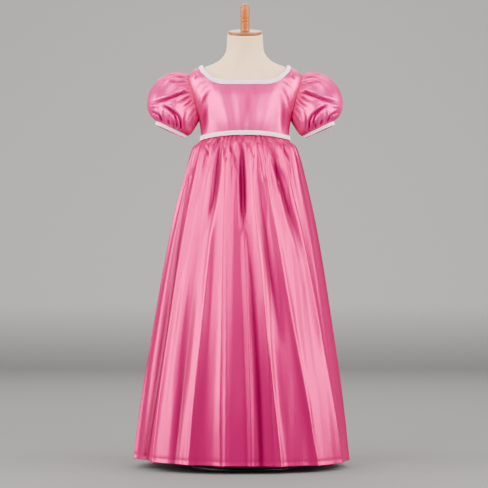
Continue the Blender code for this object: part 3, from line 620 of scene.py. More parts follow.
# %% Edges of the bodice
CLOTH, SEAM_GAP, EASE = 1.5 * MM, 0.3 * MM, 1.6 * MM
ZIP_SLOT = 2.6 * MM  # between the two backs, where the coil of the zip shows
WAIST_HEIGHT, WAIST_RISE = 917 * MM, 12 * MM
ARMPIT_HEIGHT, SHOULDER_TIP, ARMHOLE_REACH = 966 * MM, 1094 * MM, math.radians(22)
SIDE_SEAM_SHARE, SHOULDER_SEAM_SHARE = 0.27, 0.125
NeckPoint = namedtuple("NeckPoint", "angle height")  # degrees from the centre front, mm
NECKLINE = [
    NeckPoint(0, 1074),
    NeckPoint(17, 1074.5),
    NeckPoint(28, 1081),
    NeckPoint(41, 1097),
    NeckPoint(60, 1111),
    NeckPoint(75, 1115.3),
    NeckPoint(90, 1116.4),
    NeckPoint(105, 1115.2),
    NeckPoint(120, 1111.2),
    NeckPoint(150, 1102.5),
    NeckPoint(180, 1099),
]


def neck_height(angle):
    turned_by = np.degrees(np.abs(angle))
    turned_by = np.minimum(turned_by, 360 - turned_by)
    return smooth(turned_by, column(NECKLINE, "angle"), column(NECKLINE, "height")) * MM


def waist_height(angle):
    """The waist seam is level at the back and rises to the centre front."""
    return WAIST_HEIGHT + WAIST_RISE * np.clip(np.cos(angle), 0, 1) ** 2


def armhole(turn):
    """Angle and height of the armhole: an oval round the end of the shoulder, turn 0 at the shoulder tip."""
    angle = math.pi / 2 - ARMHOLE_REACH * np.sin(turn)
    return angle, ARMPIT_HEIGHT + (SHOULDER_TIP - ARMPIT_HEIGHT) * (1 + np.cos(turn)) / 2


def bodice_place(u, v, centre):
    """Angle and height on the form of a panel's own coordinates, each from 0 to 1."""
    beyond = np.clip((v - SIDE_SEAM_SHARE) / (1 - SIDE_SEAM_SHARE), 0, 1)
    side_turn, armhole_height = armhole(math.pi * (1 - beyond))
    seam_height = WAIST_HEIGHT + (ARMPIT_HEIGHT - WAIST_HEIGHT) * np.clip(v / SIDE_SEAM_SHARE, 0, 1)
    side_height = np.where(v < SIDE_SEAM_SHARE, seam_height, armhole_height)
    top_turn = (np.clip((u - SHOULDER_SEAM_SHARE) / (1 - 2 * SHOULDER_SEAM_SHARE), 0, 1) - 0.5) * math.pi
    along_shoulder = np.clip(np.minimum(u, 1 - u) / SHOULDER_SEAM_SHARE, 0, 1)
    shoulder = SHOULDER_TIP + (neck_height(math.pi / 2) - SHOULDER_TIP) * along_shoulder
    top_height = np.where(along_shoulder < 1, shoulder, neck_height(top_turn + centre))
    waist_turn = (u - 0.5) * math.pi
    waist = waist_height(waist_turn + centre) + SEAM_GAP
    pull = np.abs(2 * u - 1) ** 3
    side_rise = (side_height - WAIST_HEIGHT) / (SHOULDER_TIP - WAIST_HEIGHT)
    turn = (1 - v) * waist_turn + v * top_turn + np.sign(2 * u - 1) * pull * (side_turn - math.pi / 2)
    return turn + centre, waist + (top_height - waist) * (v + (side_rise - v) * pull)


# %% Creases of the bodice
# The cloth is drawn from the corners of the neck towards the armholes, and puckered along the waist seam
FRONT_CREASES = [
    Crease(-116, 1076, -137, 1043, -4, 3.2, 1.1),
    Crease(-104, 1066, -121, 1034, -3, 3.6, 1.2),
    Crease(-93, 1052, -124, 985, -6, 6.5, 2.0),
    Crease(-126, 1030, -131, 990, 2, 4.0, 1.2),
    Crease(-134, 1098, -141, 1080, 2, 6.0, 1.6),
    Crease(107, 1076, 132, 1045, 4, 3.2, 1.2),
    Crease(97, 1065, 126, 988, 6, 6.5, 2.1),
    Crease(122, 1052, 131, 1002, 2, 4.0, 1.1),
    Crease(131, 1098, 140, 1080, -2, 6.0, 1.6),
    Crease(8, 1052, 1, 950, 3, 16, 1.2),
    Crease(-103, 1058, -113, 905, -3, 11, 2.2),
    Crease(99, 1056, 108, 905, 3, 11, 2.3),
]
BACK_CREASES = [
    Crease(-112, 1084, -134, 1042, -4, 3.6, 1.2),
    Crease(-98, 1070, -124, 990, -6, 6.5, 1.9),
    Crease(-132, 1096, -140, 1078, 2, 6.0, 1.4),
    Crease(-30, 1060, -24, 960, 4, 12, 0.8),
    Crease(110, 1082, 133, 1040, 4, 3.4, 1.2),
    Crease(99, 1066, 125, 986, 6, 6.5, 2.0),
    Crease(131, 1097, 140, 1079, -2, 6.0, 1.5),
    Crease(34, 1048, 28, 955, -4, 13, 0.9),
]


def bodice_points(first, last, back, columns, rows=84):
    """A panel on the form, with its creases, and with small puckers that die 22 mm above the waist seam."""
    centre = math.pi if back else 0.0
    u = np.linspace(first, last, columns)[None, :] + np.zeros((rows, 1))
    v = 1 - (1 - np.linspace(0, 1, rows)[:, None] + 0 * u) ** 1.15
    angle, height = bodice_place(u, v, centre)
    smooth_face = over_form(angle, height, np.full_like(angle, EASE + CLOTH))
    wave, depth_lot, length_lot = uneven_gathers(angle, 96, seed=5)
    above = (height - waist_height(angle)) / ((0.35 + 0.65 * length_lot) * 22 * MM)
    pucker = 0.45 * MM * (0.25 + depth_lot) * wave * np.clip(1 - above, 0, 1) ** 1.5 * np.clip(above * 5, 0.3, 1)
    edge = np.clip(np.minimum(v, 1 - v) * 14, 0, 1)
    crease = creased(smooth_face[..., 0], smooth_face[..., 2], BACK_CREASES if back else FRONT_CREASES) * edge
    points = over_form(angle, height, EASE + CLOTH + pucker + crease)
    points[..., 2] += (height - points[..., 2]) * (1 - v) ** 4
    side = 1 if back else -1
    points[..., 1] = side * np.maximum(side * points[..., 1], SEAM_GAP / 2)
    if back:
        side = -1 if first > 0.25 else 1
        points[..., 0] = side * np.maximum(side * points[..., 0], ZIP_SLOT / 2)
    return points, np.maximum(-crease, 0) / (3.0 * MM) + np.maximum(-pucker, 0) / (0.7 * MM)


# %% Make the bodice
THREAD_THICKNESS = 0.7 * MM  # of the satin with its turned edges, as modelled
bodice_area = {}
bodice_panels = {"front": (0, 1, False, 208), "back_left": (0, 0.5, True, 104), "back_right": (0.5, 1, True, 104)}
for name, (first, last, back, columns) in bodice_panels.items():
    points, hollow = bodice_points(first, last, back, columns)
    panel = grid_piece(f"satin_bodice_{name}", points, inside=(0, 0, 1.0), hollow=hollow)
    thicken(dress(panel, smooth_painted_lit_finish, "pink_satin", f"bodice_{name}"), THREAD_THICKNESS)
    bodice_area[name] = area_of(points)
print("bodice areas in m2:", {name: round(area, 4) for name, area in bodice_area.items()})

# %% [markdown]
# ## The skirt
#
# The skirt is three panels gathered into the waist seam. Seen from above its outline is the table of
# sections, and between the ridges of two large folds the cloth goes in. Satin hangs in narrow ridges and broad
# flat valleys, so most of a valley's depth is reached a few millimetres beside the ridge, as 1 - exp(-d^1.5),
# and the rest is a round sin(pi t). The small gathers of the waist ride on top and die out at different
# heights.

# %% Outline and folds of the skirt
HEM_HEIGHT, HEM_LIFT, HEM_SWAY = 18 * MM, 9 * MM, -11 * MM
SKIRT = [
    Section(18, 304, 245, 249, 2.1),
    Section(185, 284, 228, 232, 2.1),
    Section(400, 251, 201, 204, 2.1),
    Section(570, 223, 177, 178, 2.1),
    Section(690, 200, 157, 156, 2.1),
    Section(800, 174, 135, 131, 2.15),
    Section(845, 162, 124, 119, 2.2),
    Section(880, 150, 114, 109, 2.2),
    Section(896, 141, 105, 100, 2.2),
    Section(903, 132, 97, 92, 2.25),
    Section(910, 123, 89, 84, 2.3),
    Section(917, 122, 88, 83, 2.3),
]
# Angles of each ridge at the waist and the hem, depths in mm of the valley after it, and its lean
Fold = namedtuple("Fold", "waist_angle hem_angle upper_depth hem_depth lean")
FOLDS = [
    Fold(-170, -170, 6, 16, 0.0),
    Fold(-149, -148, 7, 20, 0.3),
    Fold(-126, -127, 5, 15, -0.3),
    Fold(-104, -103, 5, 14, 0.0),
    Fold(-80, -80, 6, 16, 0.8),
    Fold(-52, -52, 8, 8, 1.0),
    Fold(-22, -27, 2, 14, 0.0),
    Fold(-18, -9.5, 12, 17, 0.5),
    Fold(2, 20, 3, 18, 0.0),
    Fold(12, 43, 8, 6, 0.3),
    Fold(36, 67, 5, 10, 0.0),
    Fold(80, 88, 5, 12, 0.0),
    Fold(103, 104, 6, 18, 0.3),
    Fold(126, 124, 5, 14, -0.2),
    Fold(147, 145, 7, 20, 0.0),
    Fold(169, 168, 5, 14, 0.0),
]
FOLD_ROUNDNESS = 1.2  # power of the round part of a valley
FOLD_DRIFT = 0.75  # power with which ridges drift sideways on the way down
RIDGE_SHARE = 0.75  # share of a valley's depth that is reached close to its ridges
FLANK_WAIST, FLANK_HEM = 5 * MM, 13 * MM  # how wide the flank of a ridge is
WAIST_REACH, HEM_REACH = 0.12, 0.28  # metres for a radian of turn, to measure the way from a ridge
UPPER_FOLDS_AT = 800 * MM
GatherDepth = namedtuple("GatherDepth", "height depth")
GATHER_DEPTHS = [
    GatherDepth(680, 0.0),
    GatherDepth(780, 1.2),
    GatherDepth(850, 2.4),
    GatherDepth(888, 3.0),
    GatherDepth(902, 2.2),
    GatherDepth(910, 0.6),
    GatherDepth(917, 0.3),
]


def fold_depth(angle, height):
    """How far the cloth lies inside its outline: for t from 0 to 1 between two ridges and d the distance from
    the nearer one over the width of its flank, a share of sin(pi t) and a larger one of 1 - exp(-d^1.5)."""
    drop = ((WAIST_HEIGHT - height) / (WAIST_HEIGHT - HEM_HEIGHT)) ** FOLD_DRIFT
    turn = np.degrees(angle)
    ridges = [fold.waist_angle + (fold.hem_angle - fold.waist_angle) * drop for fold in FOLDS]
    ridges.append(ridges[0] + 360)
    turn = np.where(turn < ridges[0], turn + 360, turn)
    inward = np.zeros_like(turn)
    for i, fold in enumerate(FOLDS):
        t = np.clip((turn - ridges[i]) / (ridges[i + 1] - ridges[i]), 0, 1)
        stations = (HEM_HEIGHT, UPPER_FOLDS_AT, WAIST_HEIGHT - 9 * MM)
        depth = smooth(height, stations, (fold.hem_depth, fold.upper_depth, 0)) * MM
        round_valley = np.sin(math.pi * t ** (2**fold.lean)) ** FOLD_ROUNDNESS
        reach = WAIST_REACH + (HEM_REACH - WAIST_REACH) * drop
        flank = FLANK_WAIST + (FLANK_HEM - FLANK_WAIST) * drop
        from_ridge = np.minimum(t, 1 - t) * np.radians(ridges[i + 1] - ridges[i]) * reach
        flat_valley = 1 - np.exp(-((from_ridge / flank) ** 1.5))
        inside = (t > 0) & (t < 1)
        inward += depth * inside * ((1 - RIDGE_SHARE) * round_valley + RIDGE_SHARE * flat_valley)
    return inward


def waist_gathers(angle, height):
    """The small gathers: 48 round the waist, of uneven depth and length, and finer ones close to the seam."""
    wave, depth_lot, length_lot = uneven_gathers(angle, 48, seed=11, spread=0.42)
    reach = 0.3 + 0.9 * length_lot**2
    stretched = WAIST_HEIGHT - (WAIST_HEIGHT - height) / reach
    depth = smooth(stretched / MM, column(GATHER_DEPTHS, "height"), column(GATHER_DEPTHS, "depth")) * MM
    fine, fine_lot, _ = uneven_gathers(angle, 110, seed=23)
    below = np.clip((WAIST_HEIGHT - height) / 0.012, 0, 1)
    small = 0.5 * MM * fine_lot * fine * below * np.exp(-(WAIST_HEIGHT - height) / 0.04)
    return depth * (0.5 + 0.9 * depth_lot) * wave + small


def skirt_points(angle, height, inward):
    """The outline, moved in by the folds and in or out by the gathers, hanging a little to one side."""
    points = section_point(SKIRT, angle, height)
    spread = unit(points * [1, 1, 0])
    points += spread * (waist_gathers(angle, height) - fold_depth(angle, height))[..., None]
    points -= section_normal(SKIRT, angle, height) * np.asarray(inward)[..., None]
    share = (height - HEM_HEIGHT) / (WAIST_HEIGHT - HEM_HEIGHT)
    hem = HEM_LIFT * (1 - np.sin(angle)) / 2 * (1 - share) ** 2
    points[..., 2] += share * (waist_height(angle) - WAIST_HEIGHT) + hem
    points[..., 0] += HEM_SWAY * (1 - share)
    return points


# %% Creases of the skirt
# Seen from the front: wedges that open downwards from the waist, then fine grooves along the long ridges and
# a low ridge in the middle of the widest valley. A negative depth makes a ridge
SKIRT_CREASES = [
    Crease(-10, 965, -4, 640, 0, 12, 13.0),
    Crease(0, 790, 49, -300, 10, 14, 6.0),
    Crease(-8, 720, 16, -300, 9, 8, -7.0),
    Crease(-71, 960, -104, 640, 8, 12, 11.0),
    Crease(46, 960, 158, 570, 4, 12, 10.0),
    Crease(24, 870, 98, 330, 0, 15, 8.0),
    Crease(34, 905, 52, 790, 2, 5, 4.0),
    Crease(84, 880, 96, 740, 0, 5, 3.0),
    Crease(-44, 906, -18, 812, 0, 5, 4.5),
    Crease(-126, 903, -176, 770, 5, 5, 4.0),
    Crease(-112, 897, -98, 862, 0, 4.5, 3.6),
    Crease(-60, 906, -52, 850, 0, 4.5, 3.6),
    Crease(96, 900, 128, 838, 3, 5, 4.0),
    Crease(14, 907, 24, 860, 0, 4.5, 3.6),
    Crease(-148, 890, -325, -300, -2, 13, 12.0),
    Crease(-53, 800, -58, -300, 3, 3.5, 2.2),
    Crease(50, 640, 90, -300, 3, 3.5, 2.0),
    Crease(-118, 700, -226, -300, -4, 18, 7.0),
]
SKIRT_BACK_CREASES = [
    Crease(-84, 897, -112, 640, 6, 9, 5.0),
    Crease(-40, 903, -46, 800, 0, 5, 3.0),
    Crease(-120, 900, -168, 760, 5, 6, 3.0),
    Crease(36, 903, 52, 770, 2, 6, 3.6),
    Crease(88, 898, 132, 620, 5, 9, 5.0),
    Crease(124, 900, 160, 800, 2, 5, 2.6),
    Crease(-70, 620, -90, -300, 3, 7, -4.0),
    Crease(98, 620, 138, -300, 4, 7, 4.0),
]


# %% Turned hem
HEM_TURN = 11 * MM  # depth of the double-turned hem


def hem_pucker(angle, height):
    """The row of stitches pulls the hem in a little, and the cloth puckers above and below it."""
    wave, depth_lot, _ = uneven_gathers(angle, 150, seed=31)
    from_stitch = (height - HEM_HEIGHT - HEM_TURN) / (6 * MM)
    return (0.35 * (depth_lot - 0.2) * wave - 0.5) * MM * np.exp(-(from_stitch**2))


# %% Make the skirt
def hanging(turn, height, back):
    """Places on the front or the back of the skirt, and how deep in a hollow each one lies."""
    angle = turn + (math.pi if back else 0.0)
    angle = np.where(angle > math.pi + 1e-9, angle - 2 * math.pi, angle)
    plain = skirt_points(angle, height, np.zeros_like(height))
    crease = creased(plain[..., 0], plain[..., 2], SKIRT_BACK_CREASES if back else SKIRT_CREASES)
    crease *= np.clip(np.cos(turn) * 4, 0, 1) * np.clip((WAIST_HEIGHT - height) / (12 * MM), 0, 1)
    points = skirt_points(angle, height, -hem_pucker(angle, height) - crease)
    hollow = fold_depth(angle, height) / (30 * MM) + np.maximum(-crease, 0) / (10 * MM)
    return points, hollow + np.maximum(-waist_gathers(angle, height), 0) / (7 * MM)


def skirt_panel_points(first, last, back, columns, rows=132):
    """One panel from seam to seam. Rows are closer together at the gathers and at the hem."""
    row = np.linspace(0, 1, rows)
    height = np.interp(row, (0, 0.14, 0.62, 1), (18, 48, 760, 917))[:, None] * MM
    turn = (np.linspace(first, last, columns)[None, :] - 0.5) * math.pi
    height, turn = np.broadcast_arrays(height, turn)
    points, hollow = hanging(turn, height, back)
    sway = HEM_SWAY * (WAIST_HEIGHT - height) / (WAIST_HEIGHT - HEM_HEIGHT)
    side = 1 if back else -1
    points[..., 1] = side * np.maximum(side * points[..., 1], SEAM_GAP / 2)
    if back:
        side = -1 if first > 0.25 else 1
        points[..., 0] = side * np.maximum(side * (points[..., 0] - sway), SEAM_GAP / 2) + sway
    return points, hollow


skirt_area = {}
skirt_panels = {"front": (0, 1, False, 336), "back_left": (0, 0.5, True, 168), "back_right": (0.5, 1, True, 168)}
for name, (first, last, back, columns) in skirt_panels.items():
    points, hollow = skirt_panel_points(first, last, back, columns)
    panel = grid_piece(f"satin_skirt_{name}", points, inside=(0, 0, 0.4), hollow=hollow)
    thicken(dress(panel, satin_finish, "pink_satin", f"skirt_{name}"), THREAD_THICKNESS)
    skirt_area[name] = area_of(points)
print("skirt areas in m2:", {name: round(area, 4) for name, area in skirt_area.items()})

# %% [markdown]
# ### Stitches
#
# A stitch comes out of the cloth, lies on it and goes in again, and the next one starts a little further on.
# Each is a tube whose middle line rises like half a sine and whose radius shrinks to nothing at both ends.


# %% A row of stitches
THREAD_RADIUS, STITCH_SHARE = 0.17 * MM, 0.74  # share of a step that is thread and not gap


def stitches(name, line, outward, steps=6, sides=5):
    """A tube for each step of a line of points: t runs along it, and the lift is sin(pi t)."""
    start, way = line[:-1], np.diff(line, axis=0) * STITCH_SHARE
    across = unit(np.cross(way, outward[:-1]))
    t = np.linspace(0, 1, steps)[None, :, None, None]
    turn = np.linspace(0, 2 * math.pi, sides, endpoint=False)[None, None, :, None]
    radius = THREAD_RADIUS * np.sin(math.pi * t) ** 0.5
    lift = THREAD_RADIUS * (1.6 * np.sin(math.pi * t) - 0.4) + radius * np.sin(turn)
    start, way, across, up = (part[:, None, None, :] for part in (start, way, across, outward[:-1]))
    tubes = start + way * t + across * radius * np.cos(turn) + up * lift
    rows, columns = grid_faces(steps, sides, True)
    corners = rows * sides + columns % sides
    faces = corners[None] + np.arange(len(tubes))[:, None, None] * steps * sides
    mesh = bpy.data.meshes.new(name)
    mesh.from_pydata(tubes.reshape(-1, 3), [], faces.reshape(-1, 4))
    shape = bmesh.new()
    shape.from_mesh(mesh)
    bmesh.ops.remove_doubles(shape, verts=shape.verts, dist=0.002 * MM)
    bmesh.ops.recalc_face_normals(shape, faces=shape.faces)
    shape.to_mesh(mesh)
    shape.free()
    mesh.shade_smooth()
    row = bpy.data.objects.new(name, mesh)
    bpy.context.scene.collection.objects.link(row)
    return dress(row, thread_finish, "pink_satin")


# %% Sew the hem
for name, back in (("front", False), ("back", True)):
    turn = np.linspace(-0.495, 0.495, 4000) * math.pi
    height = HEM_HEIGHT + HEM_TURN + np.array([[0.0], [1.0]]) * MM + 0 * turn
    (line, above), _ = hanging(turn + 0 * height, height, back)
    length = np.append(0, np.cumsum(np.linalg.norm(np.diff(line, axis=0), axis=-1)))
    even = np.linspace(0, length[-1], round(length[-1] / (3.2 * MM)) + 1)
    line, above = (np.stack([np.interp(even, length, row[:, i]) for i in range(3)], axis=-1) for row in (line, above))
    outward = unit(np.cross(np.gradient(line, axis=0), above - line))
    print(name, "hem:", len(stitches(f"stitch_hem_{name}", line, outward).data.polygons), "faces")

# %% [markdown]
# ## The puff sleeves
#
# A puff sleeve is a tube gathered into the armhole at one end and into a tight cuff at the other. At each
# turn round the arm, one cubic curve leaves the armhole outwards and comes into the cuff from outside, and
# its two reaches make the puff: long over the top of the arm, short under it. The right sleeve is the mirror
# image, with other gathers.

# %% Curves of the sleeve
CUFF_CENTRE, CUFF_RADIUS, CUFF_DEPTH = np.array([0.2046, 0, 0.946]), 45 * MM, 10.5 * MM
CUFF_TILT = math.radians(24.6)
PUFF_SHARE = 1 - 1 / 11  # of the sleeve's length: the rest is the straight cuff
WAY_OUT = np.array([math.sin(CUFF_TILT), 0, -math.cos(CUFF_TILT)])  # along the arm, out of the cuff
CUFF_OUTER = np.array([math.cos(CUFF_TILT), 0, math.sin(CUFF_TILT)])
CUFF_FRONT = np.array([0.0, -1.0, 0.0])


def cuff_spoke(turn):
    return np.cos(turn)[..., None] * CUFF_OUTER + np.sin(turn)[..., None] * CUFF_FRONT


def sleeve_surface(turn, v):
    """The left sleeve without gathers: for each turn a cubic curve from armhole to cuff, v from 0 to 1."""
    angle, height = armhole(turn)
    normal = section_normal(FORM, angle, height)
    offset = np.full_like(angle, EASE + CLOTH)
    edge = over_form(angle, height, offset)
    middle_height = np.full_like(turn, (ARMPIT_HEIGHT + SHOULDER_TIP) / 2)
    rim = edge - over_form(np.full_like(turn, math.pi / 2), middle_height, offset)
    rim = unit(rim - normal * np.sum(rim * normal, axis=-1, keepdims=True))
    over = ((1 + np.cos(turn)) / 2)[..., None]  # 1 at the top of the sleeve, 0 under the arm
    spoke = cuff_spoke(turn)
    leave = unit(np.array([1.0, 0, 0]) + rim * (1.1 - 0.75 * over))
    arrive = unit(0.15 * WAY_OUT - spoke)
    facing = unit(rim - leave * np.sum(rim * leave, axis=-1, keepdims=True))
    lift = np.clip(np.sum(facing * normal, axis=-1, keepdims=True), 0, 1) * CLOTH
    start = edge + normal * (lift + 1.5 * SEAM_GAP)
    end = CUFF_CENTRE + CUFF_RADIUS * spoke
    leaving = start + leave * (18 + 77 * over**0.8) * MM
    arriving = end - arrive * (16 + 68 * over**0.8) * MM
    s = np.clip(v / PUFF_SHARE, 0, 1)[..., None]
    puff = start * (1 - s) ** 3 + 3 * leaving * s * (1 - s) ** 2 + 3 * arriving * s**2 * (1 - s) + end * s**3
    return puff + WAY_OUT * CUFF_DEPTH * np.clip((v - PUFF_SHARE) / (1 - PUFF_SHARE), 0, 1)[..., None]


# %% Creases of the sleeves
# Drawn on the wearer's right sleeve as seen from the front. The other sleeve and the backs use them mirrored
SLEEVE_CREASES = [
    Crease(-142, 1064, -272, 1012, 10, 6.0, 8.0),
    Crease(-141, 1080, -214, 1076, 5, 5.0, 4.5),
    Crease(-143, 1090, -200, 1092, 4, 4.5, 4.0),
    Crease(-142, 1052, -205, 1034, 4, 5.0, 4.5),
    Crease(-143, 1042, -190, 1016, 4, 4.5, 4.0),
    Crease(-142, 1030, -176, 1000, 4, 4.5, 3.4),
    Crease(-250, 1006, -188, 940, 22, 6.0, 6.5),
    Crease(-264, 990, -226, 946, 10, 5.0, 5.0),
    Crease(-226, 1004, -176, 936, 16, 5.0, 5.0),
    Crease(-270, 1002, -216, 996, 6, 4.5, -3.5),
    Crease(-246, 974, -232, 944, 3, 3.5, 3.6),
    Crease(-214, 966, -206, 938, 2, 3.5, 3.6),
    Crease(-196, 962, -192, 934, -2, 3.5, 3.6),
    Crease(-160, 990, -168, 938, -4, 4.5, 3.4),
    Crease(-176, 964, -180, 936, 0, 3.5, 3.0),
]


def sleeve_points(side, columns=200, rows=58):
    """A sleeve with gathers at both ends and its creases, which stay clear of the two seams."""
    turn = np.linspace(0, 2 * math.pi, columns, endpoint=False)[None, :] + np.zeros((rows, 1))
    v = np.append(np.linspace(0, PUFF_SHARE, rows - 4), np.linspace(PUFF_SHARE, 1, 5)[1:])[:, None] + 0 * turn
    smooth_face = sleeve_surface(turn, v)
    along = np.gradient(smooth_face, axis=0)
    around = np.roll(smooth_face, -1, axis=1) - np.roll(smooth_face, 1, axis=1)
    outward = unit(np.cross(around, along))
    over = (1 + np.cos(turn)) / 2
    head_wave, head_lot, head_reach = uneven_gathers(turn, 26, seed=41 + side)
    cuff_wave, cuff_lot, cuff_reach = uneven_gathers(turn, 34, seed=47 + side)
    head_fade = np.clip(1 - v / (0.25 + 0.4 * head_reach), 0, 1)
    head = 4.2 * MM * (0.3 + 0.7 * head_lot) * (0.25 + 0.75 * over) * np.clip(v * 11, 0, 1) * head_fade
    before_cuff = np.clip((PUFF_SHARE - v) * 11, 0, 1)
    rise = np.clip(1 - (PUFF_SHARE - v) / (0.16 + 0.3 * cuff_reach), 0, 1)
    cuff = 4.0 * MM * (0.3 + 0.7 * cuff_lot) * rise * before_cuff
    x, z = -np.abs(smooth_face[..., 0]), smooth_face[..., 2]
    facing = np.clip(np.abs(outward[..., 1]) * 2.2, 0, 1) * np.clip(v * 11, 0, 1) * before_cuff
    height = head * head_wave + cuff * cuff_wave + creased(x, z, SLEEVE_CREASES) * facing
    return (smooth_face + outward * height[..., None]) * [side, 1, 1], np.maximum(-height, 0) / (4.5 * MM)


# %% Make the sleeves
sleeve_area = {}
for name, side in (("left", 1), ("right", -1)):
    points, hollow = sleeve_points(side)
    middle = CUFF_CENTRE * [side, 1, 1] + [0, 0, 0.05]
    panel = grid_piece(f"satin_sleeve_{name}", points, around=True, inside=middle, hollow=hollow)
    thicken(dress(panel, smooth_painted_lit_finish, "pink_satin", f"sleeve_{name}"), THREAD_THICKNESS)
    sleeve_area[name] = area_of(np.concatenate([points, points[:, :1]], axis=1))
print("sleeve areas in m2:", {name: round(area, 4) for name, area in sleeve_area.items()})

# %% [markdown]
# ## The braid
#
# White gimp braid is plaited from pairs of cord. In a plait of three strands each strand swings from side to
# side like a sine, a third of a turn after the one before it, and rises and dips twice as often, so that it
# passes over one strand and under the next. Here a braid is first a place: a function that takes a distance
# along it, a distance across it and a height over the cloth. Each cord is then a tube in those coordinates.

# %% Where the braids lie
BRAID_WIDTH, BRAID_GAP, CUFF_BRAID_WIDTH = 12 * MM, 0.8 * MM, 9 * MM
BACK_OPENING = math.radians(0.55)


def moved_on_form(angle, height, slope, distance):
    """Angle and height of a point moved on the form, at right angles to a path with this slope.

    The move is a mix of the two tangents, found from their products: two equations in two unknowns.
    """
    turning, rising = section_slopes(FORM, angle, height)
    path = turning + rising * slope[..., None]
    way = unit(np.cross(section_normal(FORM, angle, height), path)) * distance[..., None]
    tt, tr, rr = np.sum(turning**2, axis=-1), np.sum(turning * rising, axis=-1), np.sum(rising**2, axis=-1)
    wt, wr = np.sum(way * turning, axis=-1), np.sum(way * rising, axis=-1)
    determinant = tt * rr - tr * tr
    return angle + (wt * rr - wr * tr) / determinant, height + (wr * tt - wt * tr) / determinant


def neck_place_of(angle, across, lift):
    height = neck_height(angle)
    step = math.radians(0.5)
    slope = (neck_height(angle + step) - neck_height(angle - step)) / (2 * step)
    lower = moved_on_form(angle, height, slope, across - BRAID_WIDTH / 2)
    return over_form(*lower, EASE + CLOTH + BRAID_GAP + lift)


def waist_place_of(angle, across, lift):
    height = waist_height(angle) - 5 * MM + BRAID_WIDTH / 2 + across
    flare = 2.6 * MM * (0.5 - across / BRAID_WIDTH)
    return over_form(angle, height, EASE + CLOTH + BRAID_GAP + flare + lift)


def cuff_place_of(side):
    def place(turn, across, lift):
        down = CUFF_DEPTH - CUFF_BRAID_WIDTH / 2 - SEAM_GAP + across
        reach = CUFF_RADIUS + SEAM_GAP + lift
        return (CUFF_CENTRE + WAY_OUT * down[..., None] + cuff_spoke(turn) * reach[..., None]) * [side, 1, 1]

    return place


# %% Plait the braid
def even_steps(place, start, end, spacing):
    """Angles at even distances along a braid's middle line, and the line's length."""
    angle = np.linspace(start, end, 4000)
    line = place(angle, np.zeros_like(angle), np.zeros_like(angle))
    length = np.append(0, np.cumsum(np.linalg.norm(np.diff(line, axis=0), axis=-1)))
    steps = round(length[-1] / spacing)
    return np.interp(np.linspace(0, length[-1], steps + 1), length, angle), length[-1]


def plait(name, place, start, end, width, around, slot_node, period=11 * MM, cord=0.8 * MM, sides=6):
    """Three strands of two cords: across is A sin(p), lift is B sin(2p), with p a third of a turn apart."""
    angle, length = even_steps(place, start, end, 1.15 * MM)
    if around:
        angle = angle[:-1]
    cycles = round(length / period)
    travelled = np.linspace(0, 2 * math.pi * cycles, len(angle), endpoint=not around)[:, None]
    turn = np.linspace(0, 2 * math.pi, sides, endpoint=False)[None, :]
    swing = width / 2 - 2 * cord
    cords = []
    for strand in range(3):
        phase = travelled + 2 * math.pi * strand / 3
        for pair in (-1, 1):
            across = swing * np.sin(phase) + pair * cord + cord * np.cos(turn)
            lift = 1.25 * MM + 0.5 * MM * np.sin(2 * phase) + 0.9 * cord * np.sin(turn)
            tube = place(angle[:, None] + 0 * across, across, lift)
            if not around:
                ends = tube[[0, -1]].mean(axis=1, keepdims=True) + 0 * tube[[0, -1]]
                tube = np.concatenate([ends[:1], tube, ends[1:]])
            cords.append((tube, around))
    backing_across = np.linspace(-0.46, 0.46, 5)[None, :] * width + 0 * travelled
    backing = place(angle[:, None] + 0 * backing_across, backing_across, np.full_like(backing_across, 0.35 * MM))
    return join_tubes(name, cords, backing, around, slot_node, cord)


def join_tubes(name, cords, backing, around, node, cord):
    """All cords of a braid in one mesh, each a closed tube, and the woven strip that they are sewn to."""
    vertices, faces, metres = [], [], []
    count = 0
    for tube, ring in cords:
        rows, columns = tube.shape[:2]
        closed = np.concatenate([tube, tube[:1]]) if ring else tube
        corner_rows, corner_columns = grid_faces(len(closed), columns, True)
        corners = (corner_rows % rows) * columns + corner_columns % columns
        vertices.append(tube.reshape(-1, 3))
        faces.append(corners + count)
        step = np.stack([corner_rows * 1.15 * MM, corner_columns * cord], axis=-1)
        metres.append(step)
        count += rows * columns
    mesh = bpy.data.meshes.new(name)
    mesh.from_pydata(np.concatenate(vertices), [], np.concatenate(faces))
    mesh.uv_layers.new(name="cloth").data.foreach_set("uv", np.concatenate(metres).astype(np.float32).ravel())
    shape = bmesh.new()
    shape.from_mesh(mesh)
    bmesh.ops.remove_doubles(shape, verts=shape.verts, dist=0.002 * MM)
    bmesh.ops.recalc_face_normals(shape, faces=shape.faces)
    shape.to_mesh(mesh)
    shape.free()
    mesh.shade_smooth()
    braid = bpy.data.objects.new(name, mesh)
    bpy.context.scene.collection.objects.link(braid)
    dress(braid, gimp_finish, "white_braid", node)
    strip = np.concatenate([backing, backing[:1]]) if around else backing
    strip_piece = grid_piece(f"{name}_strip", strip, inside=strip.reshape(-1, 3).mean(axis=0))
    dress(strip_piece, gimp_finish, "white_braid")
    thicken(strip_piece, 0.3 * MM)
    return braid


# %% Make the braids
back_start, back_end = BACK_OPENING - math.pi, math.pi - BACK_OPENING
plait("gimp_neck", neck_place_of, back_start, back_end, BRAID_WIDTH, False, "neck_braid")
plait("gimp_waist", waist_place_of, back_start, back_end, BRAID_WIDTH, False, "waist_braid")
for name, side in (("left", 1), ("right", -1)):
    place = cuff_place_of(side)
    plait(f"gimp_cuff_{name}", place, 0, 2 * math.pi, CUFF_BRAID_WIDTH, True, f"cuff_braid_{name}", 9 * MM, 0.6 * MM)

